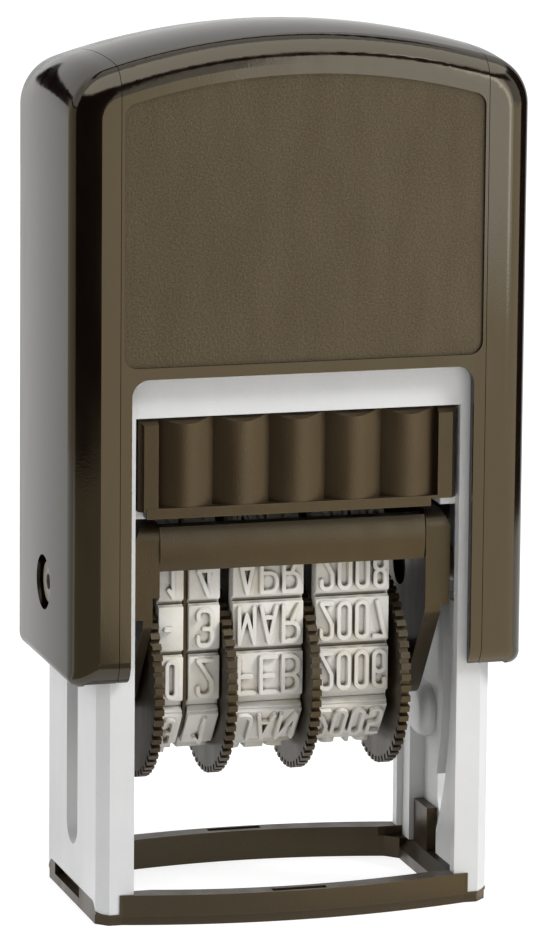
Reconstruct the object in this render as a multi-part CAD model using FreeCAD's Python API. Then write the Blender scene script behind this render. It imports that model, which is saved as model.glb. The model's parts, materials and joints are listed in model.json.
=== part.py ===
import FreeCAD, Part
import math
import os
from FreeCAD import Vector

os.makedirs("parts", exist_ok=True)

# A self-inking date stamp at rest, cap up and type against the pad.
# Millimetres. X runs to the right, Y to the back, Z up. The origin is the centre of the
# footprint on the paper. The front, where the pad is changed, faces -Y.

# Sizes that drive the whole machine
frame_depth = 20.4
pivot_height = 31.7
type_reach = 9.3
stroke = pivot_height - type_reach
overrun = 1.0
slide_gap = 0.1
quarter_turn = 90

# Base ring round the print
ring_edge = 0.1
ring_height = 3.0
ring_bow = 2.2
ring_corner_chamfer = 1.1
ring_bow_margin = 2.4
ring_wall = 1.6
ring_end_wall = 3.6
ring_opening_chamfer = 1.2
ring_seat_end_height = 1.1
ring_seat_middle_height = 2.1
ring_seat_flat = 15.6
ring_seat_rise = 2.0
ring_foot_inset = 2.1
ring_bevel_height = 0.95
ring_bevel_depth = 0.3
ring_opening_bow = 1.9
ring_relief = 1.8
ring_funnel = 1.0
ring_recess_front = 2.8
ring_recess_back = 6.7
ring_recess_low = 0.9
ring_recess_depth = 0.9
ring_clip_front = 2.0
ring_clip_back = 6.3
ring_clip_top = 6.4
ring_clip_thickness = 1.0
ring_pocket_width = 5.4
ring_pocket_length = 0.9
ring_pocket_depth = 0.35

# Stand frame, two channel legs joined by a bridge
leg_side_wall = 1.4
leg_flange_wall = 1.3
leg_flange_width = 3.5
leg_chamfer = 1.1
bridge_wall_height = 6.2
bridge_gap = 0.2
bridge_floor = 1.6
slot_width = 4.2
slot_end_room = 1.5
rail_thickness = 0.8
rail_reach = 1.2
cam_plate_depth = 1.5
cam_plate_bottom = 3.0
cam_plate_drop = 2.5
cam_plate_clearance = 0.2
cam_nose_front = 3.0
cam_nose_height = 5.3
cam_nose_drop = 2.2
cam_nose_radius = 2.4
cam_nose_round = 1.0
cam_stem_front = 6.6

# Guide pin that the cam turns, on each cheek of the date carrier
guide_pin_radius = 1.1
guide_pin_reach = 5.2
guide_pin_length = 2.3
cam_side_gap = 0.12
cam_steps = 16

# Return spring
spring_wire = 0.8
spring_radius = 5.5
spring_turns = 8
spring_end_turns = 1
spring_end_gap_share = 0.6
spring_seat_gap = 0.05
spring_cap_gap = 0.3
spring_boss_gap = 0.35
spring_boss_height = 2.0

# Cap shell
cap_side_room = 1.5
cap_front_room = 0.45
cap_floor_gap = 1.1
cap_head_room = 3.6
crown_rise = 2.5
cap_side_wall = 1.4
cap_front_wall = 1.2
cap_corner_radius = 2.6
cap_shoulder_radius = 4.8
cap_roof = 1.2
roof_apex_offset = 4.3
roof_fall_radius = 64.0
cap_foot_radius = 2.2
cap_rib_width = 1.2
cap_rib_offset = 6.4
cap_rib_gap = 0.25
cap_boss_radius = 4.4
spring_seat_drop = 0.9
spring_seat_margin = 1.2

# Saddle cover that lies over the cap between two seams
strip_width = 1.1
saddle_crown = 2.9
seam_gap = 0.06
window_side_room = 1.1
window_rise = 4.2
window_radius = 1.7
strip_end_radius = 0.75
panel_side_margin = 0.3
panel_rise = 1.1
panel_top_margin = 3.8
panel_radius = 1.3
panel_recess = 0.3

# Pivot pins that hang the date unit from the cap
pivot_radius = 2.0
pivot_head_radius = 2.6
pivot_head_recess = 1.8
pivot_head_length = 0.8
pivot_end_recess = 0.5
pivot_hole_radius = 0.78
pivot_hole_depth = 2.6
pivot_fit = 0.05
pivot_end_gap = 0.3

# Pad cassette
tray_side_gap = 0.3
tray_skirt = 1.0
tray_height = 8.8
tray_proud = 0.1
tray_side_wall = 1.4
tray_front_wall = 2.2
tray_back_wall = 1.6
tray_roof = 1.2
tray_back_lift = 1.1
rib_count = 5
rib_margin = 1.9
rib_depth = 0.9
lip_margin = 1.7
lip_offset = -0.9
lip_drop = 0.7
lip_overlap = 0.3
lip_depth = 1.4
lip_proud = 0.1
pad_gap = 0.2
pad_side_gap = 0.3
pad_thickness = 5.4
pad_edge_radius = 0.5

# Rubber date bands, each round one drum and over the type bridge
drum_drop = 9.9
band_core_radius = 5.5
band_thickness = 0.8
block_height = 0.7
character_height = 0.45
block_count = 12
block_length = 4.25
nose_half_width = 1.65
nose_radius = 0.9
shoulder_half_width = 4.4
shoulder_rise = 3.25
shoulder_radius = 1.1
band_drum_gap = 0.3

# Where each band and each thumbwheel lies along the wheel axle
tens_side_room = 0.45
tens_width = 2.5
day_gap = 0.5
units_width = 3.1
units_wheel_room = 0.23
month_width = 7.05
month_wheel_room = 0.15
year_width = 7.35
year_wheel_room = 0.5
year_side_room = 1.6
wheel_thickness = 0.9
wheel_side_gap = 0.12

# Thumbwheels
wheel_radius = 9.6
tooth_depth = 0.6
tooth_count = 56
tooth_share = 0.55
axle_radius = 1.2
axle_fit = 0.05
hub_radius = 2.4
wheel_rim_width = 1.5
wheel_web_recess = 0.2

# Date carrier, two cheeks with bars between them
cheek_thickness = 2.4
cheek_side_gap = 0.4
cheek_depth_gap = 0.2
cheek_rise = 6.9
cheek_step_drop = 2.3
cheek_step = 0.8
cheek_corner_radius = 1.5
cheek_foot_radius = 2.9
cheek_edge_chamfer = 0.7
bar_rise = 6.6
bar_height = 4.3
bar_thickness = 1.5
bar_bulge = 0.5
bar_joint_gap = 0.15
bridge_foot_rise = 2.2
divider_thickness = 0.3
divider_radius_drop = 0.35
divider_rise = 5.9
divider_fit = 0.05

# Places along the wheel axle, from the left cheek to the right one
wheel_room = wheel_side_gap + units_wheel_room + 2 * month_wheel_room + year_wheel_room
band_room = tens_width + day_gap + units_width + month_width + year_width
cheek_inner = (tens_side_room + band_room + 3 * wheel_thickness + wheel_room + year_side_room) / 2
tens_left = tens_side_room - cheek_inner
tens_wheel_left = tens_left - wheel_side_gap - wheel_thickness
units_left = tens_left + tens_width + day_gap
units_wheel_left = units_left + units_width + wheel_side_gap
month_left = units_wheel_left + wheel_thickness + units_wheel_room
month_wheel_left = month_left + month_width + month_wheel_room
year_left = month_wheel_left + wheel_thickness + month_wheel_room
year_wheel_left = year_left + year_width + year_wheel_room
pivot_tip = pivot_end_gap - tens_wheel_left

# Widths that follow from the date unit outwards
cheek_outer = cheek_inner + cheek_thickness
leg_inner_half = cheek_outer + cheek_side_gap
half_frame = leg_inner_half + leg_flange_width
leg_wall_inner = half_frame - leg_side_wall
ring_foot_half = half_frame - ring_foot_inset
ring_opening_half = half_frame - ring_end_wall
tray_half = leg_inner_half - tray_side_gap
half_window = tray_half + window_side_room
half_saddle = half_window + strip_width
half_panel = half_saddle - panel_side_margin
cap_cavity_half = half_frame + cap_side_room
half_cap = cap_cavity_half + cap_side_wall

# Depths that follow from the frame
half_frame_depth = frame_depth / 2
half_ring_depth = half_frame_depth + ring_edge
leg_flange_inner = half_frame_depth - leg_flange_wall
cheek_half_depth = leg_flange_inner - cheek_depth_gap
tray_front = half_frame_depth + tray_proud
tray_back = half_frame_depth
cap_cavity_depth = half_frame_depth + cap_front_room
half_cap_depth = cap_cavity_depth + cap_front_wall

# Heights that follow from the pivot and the stroke
slot_bottom = type_reach - slot_width / 2 - slot_end_room
drum_height = pivot_height - drum_drop
drum_radius = band_core_radius - band_thickness / 2 - band_drum_gap
band_face = band_thickness / 2 + block_height + character_height
nose_height = pivot_height + type_reach - band_face - nose_radius
shoulder_height = pivot_height + shoulder_rise
bridge_foot_height = pivot_height + bridge_foot_rise
divider_top = pivot_height + divider_rise
cheek_top = pivot_height + cheek_rise
cheek_step_height = pivot_height - cheek_step_drop
bar_top = pivot_height + bar_rise
bar_bottom = bar_top - bar_height
cam_plate_top = pivot_height - cam_plate_drop
cam_nose_top = pivot_height - stroke / 2 - cam_nose_drop
cam_nose_low = cam_nose_top - cam_nose_height
pad_face = pivot_height + type_reach + pad_gap
tray_bottom = pad_face - tray_skirt
tray_top = tray_bottom + tray_height
rail_bottom = tray_bottom - slide_gap - rail_thickness
bridge_bottom = tray_top + bridge_gap
spring_floor = bridge_bottom + bridge_floor
frame_top = bridge_bottom + bridge_wall_height
window_top = tray_top + window_rise
panel_bottom = window_top + panel_rise
cap_bottom = stroke + cap_floor_gap
cap_cavity_inset = saddle_crown + cap_roof
cap_crown = frame_top + stroke + cap_head_room + cap_cavity_inset
spring_roof = cap_crown - cap_cavity_inset - spring_seat_drop
crown_radius = (half_saddle ** 2 + crown_rise ** 2) / (2 * crown_rise)
crown_centre = cap_crown - crown_radius


# Small helpers for solids
def box(x_low, x_high, y_low, y_high, z_low, z_high):
    corner = Vector(x_low, y_low, z_low)
    return Part.makeBox(x_high - x_low, y_high - y_low, z_high - z_low, corner)


def centred_box(half_x, half_y, z_low, z_high):
    return box(-half_x, half_x, -half_y, half_y, z_low, z_high)


def x_cylinder(radius, x_low, x_high, height):
    start = Vector(x_low, 0, height)
    return Part.makeCylinder(radius, x_high - x_low, start, Vector(1, 0, 0))


def z_cylinder(radius, z_low, z_high):
    start = Vector(0, 0, z_low)
    return Part.makeCylinder(radius, z_high - z_low, start)


def along_x(edges, x_low, x_high):
    face = Part.Face(Part.Wire(edges))
    face.translate(Vector(x_low, 0, 0))
    return face.extrude(Vector(x_high - x_low, 0, 0))


def along_y(edges, y_low, y_high):
    face = Part.Face(Part.Wire(edges))
    face.translate(Vector(0, y_low, 0))
    return face.extrude(Vector(0, y_high - y_low, 0))


def line(start, end):
    return Part.LineSegment(start, end).toShape()


def arc(start, middle, end):
    return Part.Arc(start, middle, end).toShape()


def closed_outline(points):
    return [line(a, b) for a, b in zip(points, points[1:] + points[:1])]


def mirror_x(shape):
    return shape.mirror(Vector(0, 0, 0), Vector(1, 0, 0))


def mirror_y(shape):
    return shape.mirror(Vector(0, 0, 0), Vector(0, 1, 0))


def edges_where(shape, test):
    return [edge for edge in shape.Edges if test(edge)]


def runs_along(edge, axis):
    first, last = edge.Vertexes[0].Point, edge.Vertexes[-1].Point
    span = last.sub(first)
    return span.Length > 0 and abs(span.dot(axis)) > 0.999 * span.Length


def save(name, shape):
    solid = shape.removeSplitter()
    solid.exportStep(os.path.join("parts", name + ".step"))
    box_size = solid.BoundBox
    print(f"{name:22s} solids {len(solid.Solids)} valid {solid.isValid()} volume {solid.Volume:9.2f}"
          f"  x {box_size.XMin:7.2f} {box_size.XMax:7.2f}  y {box_size.YMin:7.2f} {box_size.YMax:7.2f}"
          f"  z {box_size.ZMin:7.2f} {box_size.ZMax:7.2f}")
    return solid


# Belt round a ring of circles, given as (y, z, radius) and taken anticlockwise seen from +X
def belt_pieces(circles, offset):
    normals = []
    for here, after in zip(circles, circles[1:] + circles[:1]):
        run_y, run_z = after[0] - here[0], after[1] - here[1]
        length = math.hypot(run_y, run_z)
        lean = math.asin((here[2] - after[2]) / length)
        normals.append(math.atan2(run_z, run_y) - math.pi / 2 + lean)
    pieces = []
    for index, circle in enumerate(circles):
        start = normals[index - 1]
        turn = (normals[index] - start) % (2 * math.pi)
        radius = circle[2] + offset
        pieces.append(("turn", circle, radius, start, turn))
        after = circles[(index + 1) % len(circles)]
        pieces.append(("run", circle_point(circle, radius, start + turn),
                       circle_point(after, after[2] + offset, start + turn), start + turn))
    return pieces


def circle_point(circle, radius, angle):
    return Vector(0, circle[0] + radius * math.cos(angle), circle[1] + radius * math.sin(angle))


def belt_edges(circles, offset):
    edges = []
    for piece in belt_pieces(circles, offset):
        if piece[0] == "run":
            edges.append(line(piece[1], piece[2]))
            continue
        _, circle, radius, start, turn = piece
        points = [circle_point(circle, radius, start + turn * share) for share in (0, 0.5, 1)]
        edges.append(arc(*points))
    return edges


# Places along the belt's middle line: (point, outward angle) at a distance from the top centre
def belt_place(circles, distance):
    pieces = belt_pieces(circles, 0)
    lengths = []
    for piece in pieces:
        lengths.append(piece[2] * piece[4] if piece[0] == "turn" else piece[2].sub(piece[1]).Length)
    total = sum(lengths)
    left = (top_run_start(pieces, lengths) + distance) % total
    for piece, length in zip(pieces, lengths):
        if left <= length:
            break
        left -= length
    if piece[0] == "turn":
        angle = piece[3] + left / piece[2]
        return circle_point(piece[1], piece[2], angle), angle
    share = left / length
    return piece[1] + (piece[2] - piece[1]) * share, piece[3]


def top_run_start(pieces, lengths):
    runs = [index for index, piece in enumerate(pieces) if piece[0] == "run"]
    top = max(runs, key=lambda index: pieces[index][1].z + pieces[index][2].z)
    return sum(lengths[:top]) + lengths[top] / 2


def belt_length(circles):
    total = 0
    for piece in belt_pieces(circles, 0):
        total += piece[2] * piece[4] if piece[0] == "turn" else piece[2].sub(piece[1]).Length
    return total


band_circles = [
    (0, drum_height, band_core_radius),
    (shoulder_half_width, shoulder_height, shoulder_radius),
    (nose_half_width, nose_height, nose_radius),
    (-nose_half_width, nose_height, nose_radius),
    (-shoulder_half_width, shoulder_height, shoulder_radius),
]
bridge_circles = [
    (-shoulder_half_width, bridge_foot_height, shoulder_radius),
    (shoulder_half_width, bridge_foot_height, shoulder_radius),
    band_circles[1],
    band_circles[2],
    band_circles[3],
    band_circles[4],
]


# Base ring
def ring_outline(inset, half_x, straight_half):
    side = half_ring_depth - inset
    bow = side + ring_bow
    chamfer = ring_corner_chamfer
    front = [
        line(Vector(-half_x, -side + chamfer, 0), Vector(-half_x + chamfer, -side, 0)),
        line(Vector(-half_x + chamfer, -side, 0), Vector(-straight_half, -side, 0)),
        arc(Vector(-straight_half, -side, 0), Vector(0, -bow, 0), Vector(straight_half, -side, 0)),
        line(Vector(straight_half, -side, 0), Vector(half_x - chamfer, -side, 0)),
        line(Vector(half_x - chamfer, -side, 0), Vector(half_x, -side + chamfer, 0)),
    ]
    back = [mirror_y(edge) for edge in front]
    sides = [
        line(Vector(half_x, -side + chamfer, 0), Vector(half_x, side - chamfer, 0)),
        line(Vector(-half_x, side - chamfer, 0), Vector(-half_x, -side + chamfer, 0)),
    ]
    return Part.Wire(Part.__sortEdges__(front + back + sides))


def ring_opening():
    half_x = ring_opening_half
    side = half_ring_depth - ring_wall
    cut = ring_opening_chamfer
    front = [
        line(Vector(-half_x, -side + cut, 0), Vector(-half_x + cut, -side, 0)),
        arc(Vector(-half_x + cut, -side, 0), Vector(0, -side - ring_opening_bow, 0), Vector(half_x - cut, -side, 0)),
        line(Vector(half_x - cut, -side, 0), Vector(half_x, -side + cut, 0)),
    ]
    back = [mirror_y(edge) for edge in front]
    sides = [
        line(Vector(half_x, -side + cut, 0), Vector(half_x, side - cut, 0)),
        line(Vector(-half_x, side - cut, 0), Vector(-half_x, -side + cut, 0)),
    ]
    return Part.Wire(Part.__sortEdges__(front + back + sides))


def seat_space(half_x_low, half_x_high):
    reach = half_ring_depth + ring_bow + overrun
    flat = ring_seat_flat / 2
    end = flat + ring_seat_rise
    low, high = ring_seat_end_height, ring_seat_middle_height
    top = ring_height + overrun
    bend = (end - flat) / 2
    rise = Part.BezierCurve()
    rise.setPoles([Vector(0, flat, high), Vector(0, flat + bend, high), Vector(0, end - bend, low),
                   Vector(0, end, low)])
    fall = Part.BezierCurve()
    fall.setPoles([Vector(0, -end, low), Vector(0, -end + bend, low), Vector(0, -flat - bend, high),
                   Vector(0, -flat, high)])
    edges = [
        line(Vector(0, -reach, low), Vector(0, -end, low)),
        fall.toShape(),
        line(Vector(0, -flat, high), Vector(0, flat, high)),
        rise.toShape(),
        line(Vector(0, end, low), Vector(0, reach, low)),
        line(Vector(0, reach, low), Vector(0, reach, top)),
        line(Vector(0, reach, top), Vector(0, -reach, top)),
        line(Vector(0, -reach, top), Vector(0, -reach, low)),
    ]
    return along_x(edges, half_x_low, half_x_high)


def base_ring():
    straight_half = half_frame - ring_bow_margin
    body = Part.Face(ring_outline(0, half_frame, straight_half)).extrude(Vector(0, 0, ring_height))
    opening = Part.Face(ring_opening())
    opening.translate(Vector(0, 0, -overrun))
    opening = opening.extrude(Vector(0, 0, ring_height + 2 * overrun))
    seat = seat_space(ring_foot_half, half_frame + overrun)
    side_cuts = [seat, inner_seat(), funnel(), clip_recess()]
    body = body.cut([opening, pocket(), mirror_y(pocket())] + side_cuts + [mirror_x(cut) for cut in side_cuts])
    clip = ring_clip()
    return bevel_ring_foot(body).fuse([clip, mirror_x(clip)])


def inner_seat():
    low = ring_opening_half - ring_relief
    return box(low, half_frame, -leg_flange_inner, leg_flange_inner, ring_seat_middle_height,
               ring_height + overrun)


# Sloping end of the opening
def funnel():
    edge = ring_opening_half
    top = ring_seat_middle_height
    outline = closed_outline([Vector(edge - overrun, 0, top - ring_funnel - overrun),
                              Vector(edge + ring_funnel + overrun, 0, top + overrun),
                              Vector(edge - overrun, 0, top + overrun)])
    reach = half_ring_depth - ring_wall - ring_opening_chamfer
    return along_y(outline, -reach, reach)


# Recess in the ring's side, open to the foot of the leg
def clip_recess():
    return box(half_frame - ring_recess_depth, half_frame + overrun, -ring_recess_front, ring_recess_back,
               ring_recess_low, ring_height + overrun)


# Tongue that holds the ring inside the leg
def ring_clip():
    x_high = leg_wall_inner - slide_gap
    return box(x_high - ring_clip_thickness, x_high, ring_clip_front, ring_clip_back, ring_recess_low,
               ring_clip_top)


# Shallow mark in the middle of each bar's top
def pocket():
    middle = half_ring_depth + ring_bow - ring_wall / 2
    return box(-ring_pocket_width / 2, ring_pocket_width / 2, -middle - ring_pocket_length / 2,
               -middle + ring_pocket_length / 2, ring_height - ring_pocket_depth, ring_height + overrun)


def bevel_ring_foot(body):
    straight_half = half_frame - ring_bow_margin
    low_outline = ring_outline(ring_bevel_depth, half_frame, straight_half)
    slab = Part.Face(ring_outline(0, half_frame, straight_half)).extrude(Vector(0, 0, ring_bevel_height))
    keep = Part.Face(low_outline).extrude(Vector(0, 0, ring_bevel_height))
    return body.cut(slab.cut(keep))


# Stand frame
def leg():
    outer = box(leg_inner_half, half_frame, -half_frame_depth, half_frame_depth, 0, frame_top)
    corners = edges_where(outer, lambda e: runs_along(e, Vector(0, 0, 1))
                          and e.Vertexes[0].Point.x > leg_wall_inner)
    outer = outer.makeChamfer(leg_chamfer, corners)
    channel = box(0, leg_wall_inner, -leg_flange_inner, leg_flange_inner, -overrun, frame_top + overrun)
    foot_room = Part.Face(ring_outline(-overrun, half_frame + overrun, half_frame - ring_bow_margin))
    foot_room = foot_room.extrude(Vector(0, 0, ring_height))
    foot_cut = foot_room.cut(seat_space(ring_foot_half, half_frame + 2 * overrun))
    slot = leg_slot()
    return outer.cut([channel, foot_cut, slot])


def leg_slot():
    half = slot_width / 2
    low = slot_bottom + half
    high = pivot_height
    body = box(leg_wall_inner - overrun, half_frame + overrun, -half, half, low, high)
    ends = [x_cylinder(half, leg_wall_inner - overrun, half_frame + overrun, height) for height in (low, high)]
    return body.fuse(ends)


def guide_path(offset):
    points = []
    for index in range(cam_steps + 1):
        turn = math.pi * index / cam_steps
        drop = stroke * index / cam_steps
        y = -guide_pin_reach * math.sin(turn)
        z = pivot_height - drop + guide_pin_reach * math.cos(turn)
        slope_y = -guide_pin_reach * math.cos(turn)
        slope_z = -stroke / math.pi - guide_pin_reach * math.sin(turn)
        size = math.hypot(slope_y, slope_z)
        points.append(Vector(0, y + offset * slope_z / size, z - offset * slope_y / size))
    return points


def guide_groove():
    half = guide_pin_radius + cam_side_gap
    outer, inner = guide_path(half), guide_path(-half)
    outer_curve = Part.BSplineCurve()
    outer_curve.interpolate(outer)
    inner_curve = Part.BSplineCurve()
    inner_curve.interpolate(inner)
    edges = [outer_curve.toShape(), line(outer[-1], inner[-1]), inner_curve.toShape(), line(inner[0], outer[0])]
    return along_x(edges, leg_wall_inner - cam_plate_depth - overrun, leg_wall_inner)


def cam_plate():
    plate = box(leg_wall_inner - cam_plate_depth, leg_wall_inner, -leg_flange_inner,
                -slot_width / 2 - cam_plate_clearance, cam_plate_bottom, cam_plate_top)
    return plate.cut(guide_groove())


# Back part of the cam, a rounded nose on a stem
def cam_nose():
    x_low = leg_wall_inner - cam_plate_depth
    nose = box(x_low, leg_wall_inner, cam_nose_front, leg_flange_inner, cam_nose_low, cam_nose_top)
    front = edges_where(nose, lambda e: runs_along(e, Vector(1, 0, 0))
                        and e.Vertexes[0].Point.y < cam_stem_front)
    nose = nose.makeFillet(cam_nose_radius, front)
    inner = edges_where(nose, lambda e: e.BoundBox.XMax < x_low + slide_gap
                        and e.BoundBox.YMin < leg_flange_inner - slide_gap)
    nose = nose.makeFillet(cam_nose_round, inner)
    stem = box(x_low, leg_wall_inner, cam_stem_front, leg_flange_inner, ring_seat_middle_height,
               cam_nose_low + cam_nose_radius)
    return nose.fuse(stem)


def cassette_rail():
    return box(tray_half - rail_reach, leg_wall_inner, -leg_flange_inner, leg_flange_inner,
               rail_bottom, rail_bottom + rail_thickness)


def stand_frame():
    side = leg().fuse([cam_plate(), cam_nose(), cassette_rail()])
    floor = centred_box(leg_wall_inner, half_frame_depth, bridge_bottom, spring_floor)
    wall = box(-leg_wall_inner, leg_wall_inner, -half_frame_depth, -leg_flange_inner,
               bridge_bottom, frame_top)
    boss = z_cylinder(spring_radius - spring_wire / 2 - spring_boss_gap, spring_floor,
                      spring_floor + spring_boss_height)
    return side.fuse([mirror_x(side), floor, wall, mirror_y(wall), boss])


# Return spring, one coil with closer turns at its ends
def spring_heights():
    low = spring_floor + spring_wire / 2 + spring_seat_gap
    high = spring_roof - spring_wire / 2 - spring_cap_gap
    end_rise = spring_wire * (1 + spring_end_gap_share)
    middle_turns = spring_turns - 2 * spring_end_turns
    middle_rise = (high - low - 2 * spring_end_turns * end_rise) / middle_turns
    heights = [low]
    for quarter in range(4 * spring_turns):
        turn = (quarter + 0.5) / 4
        near_end = turn < spring_end_turns or turn > spring_turns - spring_end_turns
        heights.append(heights[-1] + (end_rise if near_end else middle_rise) / 4)
    return heights


def return_spring():
    heights = spring_heights()
    path = spring_path(heights)
    print("spring: least gap between turns", round(least_turn_gap(heights), 3), "mm")
    start = path.Edges[0]
    direction = start.tangentAt(start.FirstParameter)
    section = Part.Wire(Part.Circle(start.valueAt(start.FirstParameter), direction, spring_wire / 2).toShape())
    return path.makePipeShell([section], True, False)


def spring_path(heights):
    edges = []
    points = [spring_point(index, height) for index, height in enumerate(heights)]
    tangents = [spring_tangent(index, heights) for index in range(len(heights))]
    for start, end, leave, arrive in zip(points, points[1:], tangents, tangents[1:]):
        edges.extend(biarc(start, leave, end, arrive))
    return Part.Wire(edges)


def spring_point(quarter, height):
    angle = quarter * math.pi / 2
    return Vector(spring_radius * math.cos(angle), spring_radius * math.sin(angle), height)


def spring_tangent(quarter, heights):
    angle = quarter * math.pi / 2
    before, after = max(quarter - 1, 0), min(quarter + 1, len(heights) - 1)
    climb = (heights[after] - heights[before]) / ((after - before) * math.pi / 2)
    tangent = Vector(-spring_radius * math.sin(angle), spring_radius * math.cos(angle), climb)
    return tangent.normalize()


# Two arcs that leave one point and reach another with the tangents given
def biarc(start, leave, end, arrive):
    chord = end.sub(start)
    both = leave.add(arrive)
    a = 2 * (1 - leave.dot(arrive))
    b = 2 * chord.dot(both)
    c = -chord.dot(chord)
    reach = (-b + math.sqrt(b * b - 4 * a * c)) / (2 * a)
    first = start.add(leave * reach)
    second = end.sub(arrive * reach)
    joint = (first + second) * 0.5
    return [tangent_arc(start, leave, joint), tangent_arc(joint, second.sub(first), end)]


def tangent_arc(start, tangent, end):
    chord = end.sub(start)
    along = Vector(tangent)
    along.normalize()
    across = chord.sub(along * chord.dot(along))
    side = across.Length
    run = chord.dot(along)
    radius = (run * run + side * side) / (2 * side)
    across.normalize()
    centre = start.add(across * radius)
    half_turn = math.atan2(run, radius - side) / 2
    middle = centre.add(along * (radius * math.sin(half_turn))).sub(across * (radius * math.cos(half_turn)))
    return arc(start, middle, end)


def least_turn_gap(heights):
    rises = [high - low for low, high in zip(heights, heights[4:])]
    return min(rises) - spring_wire


# Cap shell and saddle cover
def crown_profile(half_x, inset, low):
    radius = crown_radius - inset
    side = crown_centre + math.sqrt(radius ** 2 - half_x ** 2)
    left_top, right_top = Vector(-half_x, 0, side), Vector(half_x, 0, side)
    return [
        line(Vector(-half_x, 0, low), left_top),
        arc(left_top, Vector(0, 0, crown_centre + radius), right_top),
        line(right_top, Vector(half_x, 0, low)),
        line(Vector(half_x, 0, low), Vector(-half_x, 0, low)),
    ]


def crown_prism(half_x, half_y, inset, low):
    return along_y(crown_profile(half_x, inset, low), -half_y, half_y)


# Height the roof has lost at a place in front of or behind its highest line
def roof_fall(y):
    run = y + roof_apex_offset
    return roof_fall_radius - math.sqrt(roof_fall_radius ** 2 - run ** 2)


# Everything above the roof, which is curved to both sides and falls towards the back
def space_above_roof():
    front, back = -half_cap_depth - overrun, half_cap_depth + overrun
    high = cap_crown + half_cap
    outline = [
        arc(Vector(0, front, cap_crown - roof_fall(front)), Vector(0, -roof_apex_offset, cap_crown),
            Vector(0, back, cap_crown - roof_fall(back))),
        line(Vector(0, back, cap_crown - roof_fall(back)), Vector(0, back, high)),
        line(Vector(0, back, high), Vector(0, front, high)),
        line(Vector(0, front, high), Vector(0, front, cap_crown - roof_fall(front))),
    ]
    section = Part.Face(Part.Wire(outline))
    section.rotate(Vector(0, 0, crown_centre), Vector(0, 1, 0), -quarter_turn / 2)
    return section.revolve(Vector(0, 0, crown_centre), Vector(0, 1, 0), quarter_turn)


def is_shoulder(edge):
    first, last = edge.Vertexes[0].Point, edge.Vertexes[-1].Point
    return abs(first.y - last.y) > half_cap_depth and min(first.z, last.z) > frame_top


def cap_form():
    body = centred_box(half_cap, half_cap_depth, cap_bottom, cap_crown).cut(space_above_roof())
    body = body.makeFillet(cap_shoulder_radius, edges_where(body, is_shoulder))
    feet = edges_where(body, lambda e: runs_along(e, Vector(0, 1, 0))
                       and e.BoundBox.ZMax < cap_bottom + overrun)
    body = body.makeFillet(cap_foot_radius / 2, feet)
    rims = edges_where(body, lambda e: abs(abs(e.BoundBox.YMin) - half_cap_depth) < slide_gap
                       and abs(e.BoundBox.YMax - e.BoundBox.YMin) < slide_gap
                       and e.BoundBox.ZMax > cap_bottom + cap_foot_radius)
    return body.makeFillet(cap_corner_radius, rims)


def spring_seat():
    seat = z_cylinder(spring_radius + spring_seat_margin, spring_roof, cap_crown - cap_cavity_inset)
    boss = z_cylinder(spring_radius - spring_wire / 2 - spring_boss_gap, spring_roof - spring_boss_height,
                      cap_crown - cap_cavity_inset)
    return seat.fuse(boss)


def pivot_boss():
    reach = half_frame + cap_rib_gap
    return x_cylinder(cap_boss_radius, reach, cap_cavity_half, pivot_height)


def cap_rib():
    rib_top = frame_top + bridge_floor
    reach = half_frame + cap_rib_gap
    return box(reach, cap_cavity_half, cap_rib_offset, cap_rib_offset + cap_rib_width, cap_bottom + overrun,
               rib_top)


def cap_shell(form):
    cavity = crown_prism(cap_cavity_half, cap_cavity_depth, cap_cavity_inset, cap_bottom - overrun)
    shoulders = edges_where(cavity, lambda e: runs_along(e, Vector(0, 1, 0))
                            and e.Vertexes[0].Point.z > cap_bottom)
    cavity = cavity.makeFillet(cap_shoulder_radius - cap_side_wall, shoulders)
    slot = box(-half_saddle - seam_gap, half_saddle + seam_gap, -half_cap, half_cap,
               cap_bottom - overrun, cap_crown + overrun)
    core = crown_prism(half_saddle + overrun, cap_cavity_depth, saddle_crown + seam_gap,
                       cap_bottom - 2 * overrun)
    body = form.cut([cavity, slot.cut(core)])
    side = [pivot_boss(), cap_rib(), mirror_y(cap_rib())]
    body = body.fuse(side + [mirror_x(piece) for piece in side] + [spring_seat()])
    hole = x_cylinder(pivot_head_radius + pivot_fit, -half_cap - overrun, half_cap + overrun, pivot_height)
    return body.cut(hole)


def window_cut():
    half = half_window
    cut = box(-half, half, -half_cap_depth - overrun, half_cap_depth + overrun, cap_bottom - overrun, window_top)
    tops = edges_where(cut, lambda e: runs_along(e, Vector(0, 1, 0))
                       and e.Vertexes[0].Point.z > window_top - overrun)
    return cut.makeFillet(window_radius, tops)


def panel_recess_cut():
    half = half_panel
    low_y = -half_cap_depth - overrun
    cut = along_y(crown_profile(half, panel_top_margin, panel_bottom), low_y, -half_cap_depth + panel_recess)
    corners = edges_where(cut, lambda e: runs_along(e, Vector(0, 1, 0)))
    return cut.makeFillet(panel_radius, corners)


def cap_saddle(form):
    band = box(-half_saddle, half_saddle, -half_cap, half_cap, cap_bottom - overrun, cap_crown + overrun)
    inside = crown_prism(half_saddle + overrun, cap_cavity_depth + seam_gap, saddle_crown,
                         cap_bottom - 2 * overrun)
    body = form.common(band).cut([inside, window_cut()])
    end_cut = strip_end_cut()
    recess = panel_recess_cut()
    return body.cut([end_cut, mirror_x(end_cut), recess, mirror_y(recess)])


# Rounds the lower inner corner of the strips beside the window
def strip_end_cut():
    low_x = half_window
    corner = box(low_x - overrun, low_x + strip_end_radius, -half_cap_depth - overrun, half_cap_depth + overrun,
                 cap_bottom - overrun, cap_bottom + strip_end_radius)
    start = Vector(low_x + strip_end_radius, -half_cap, cap_bottom + strip_end_radius)
    return corner.cut(Part.makeCylinder(strip_end_radius, 2 * half_cap, start, Vector(0, 1, 0)))


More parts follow.
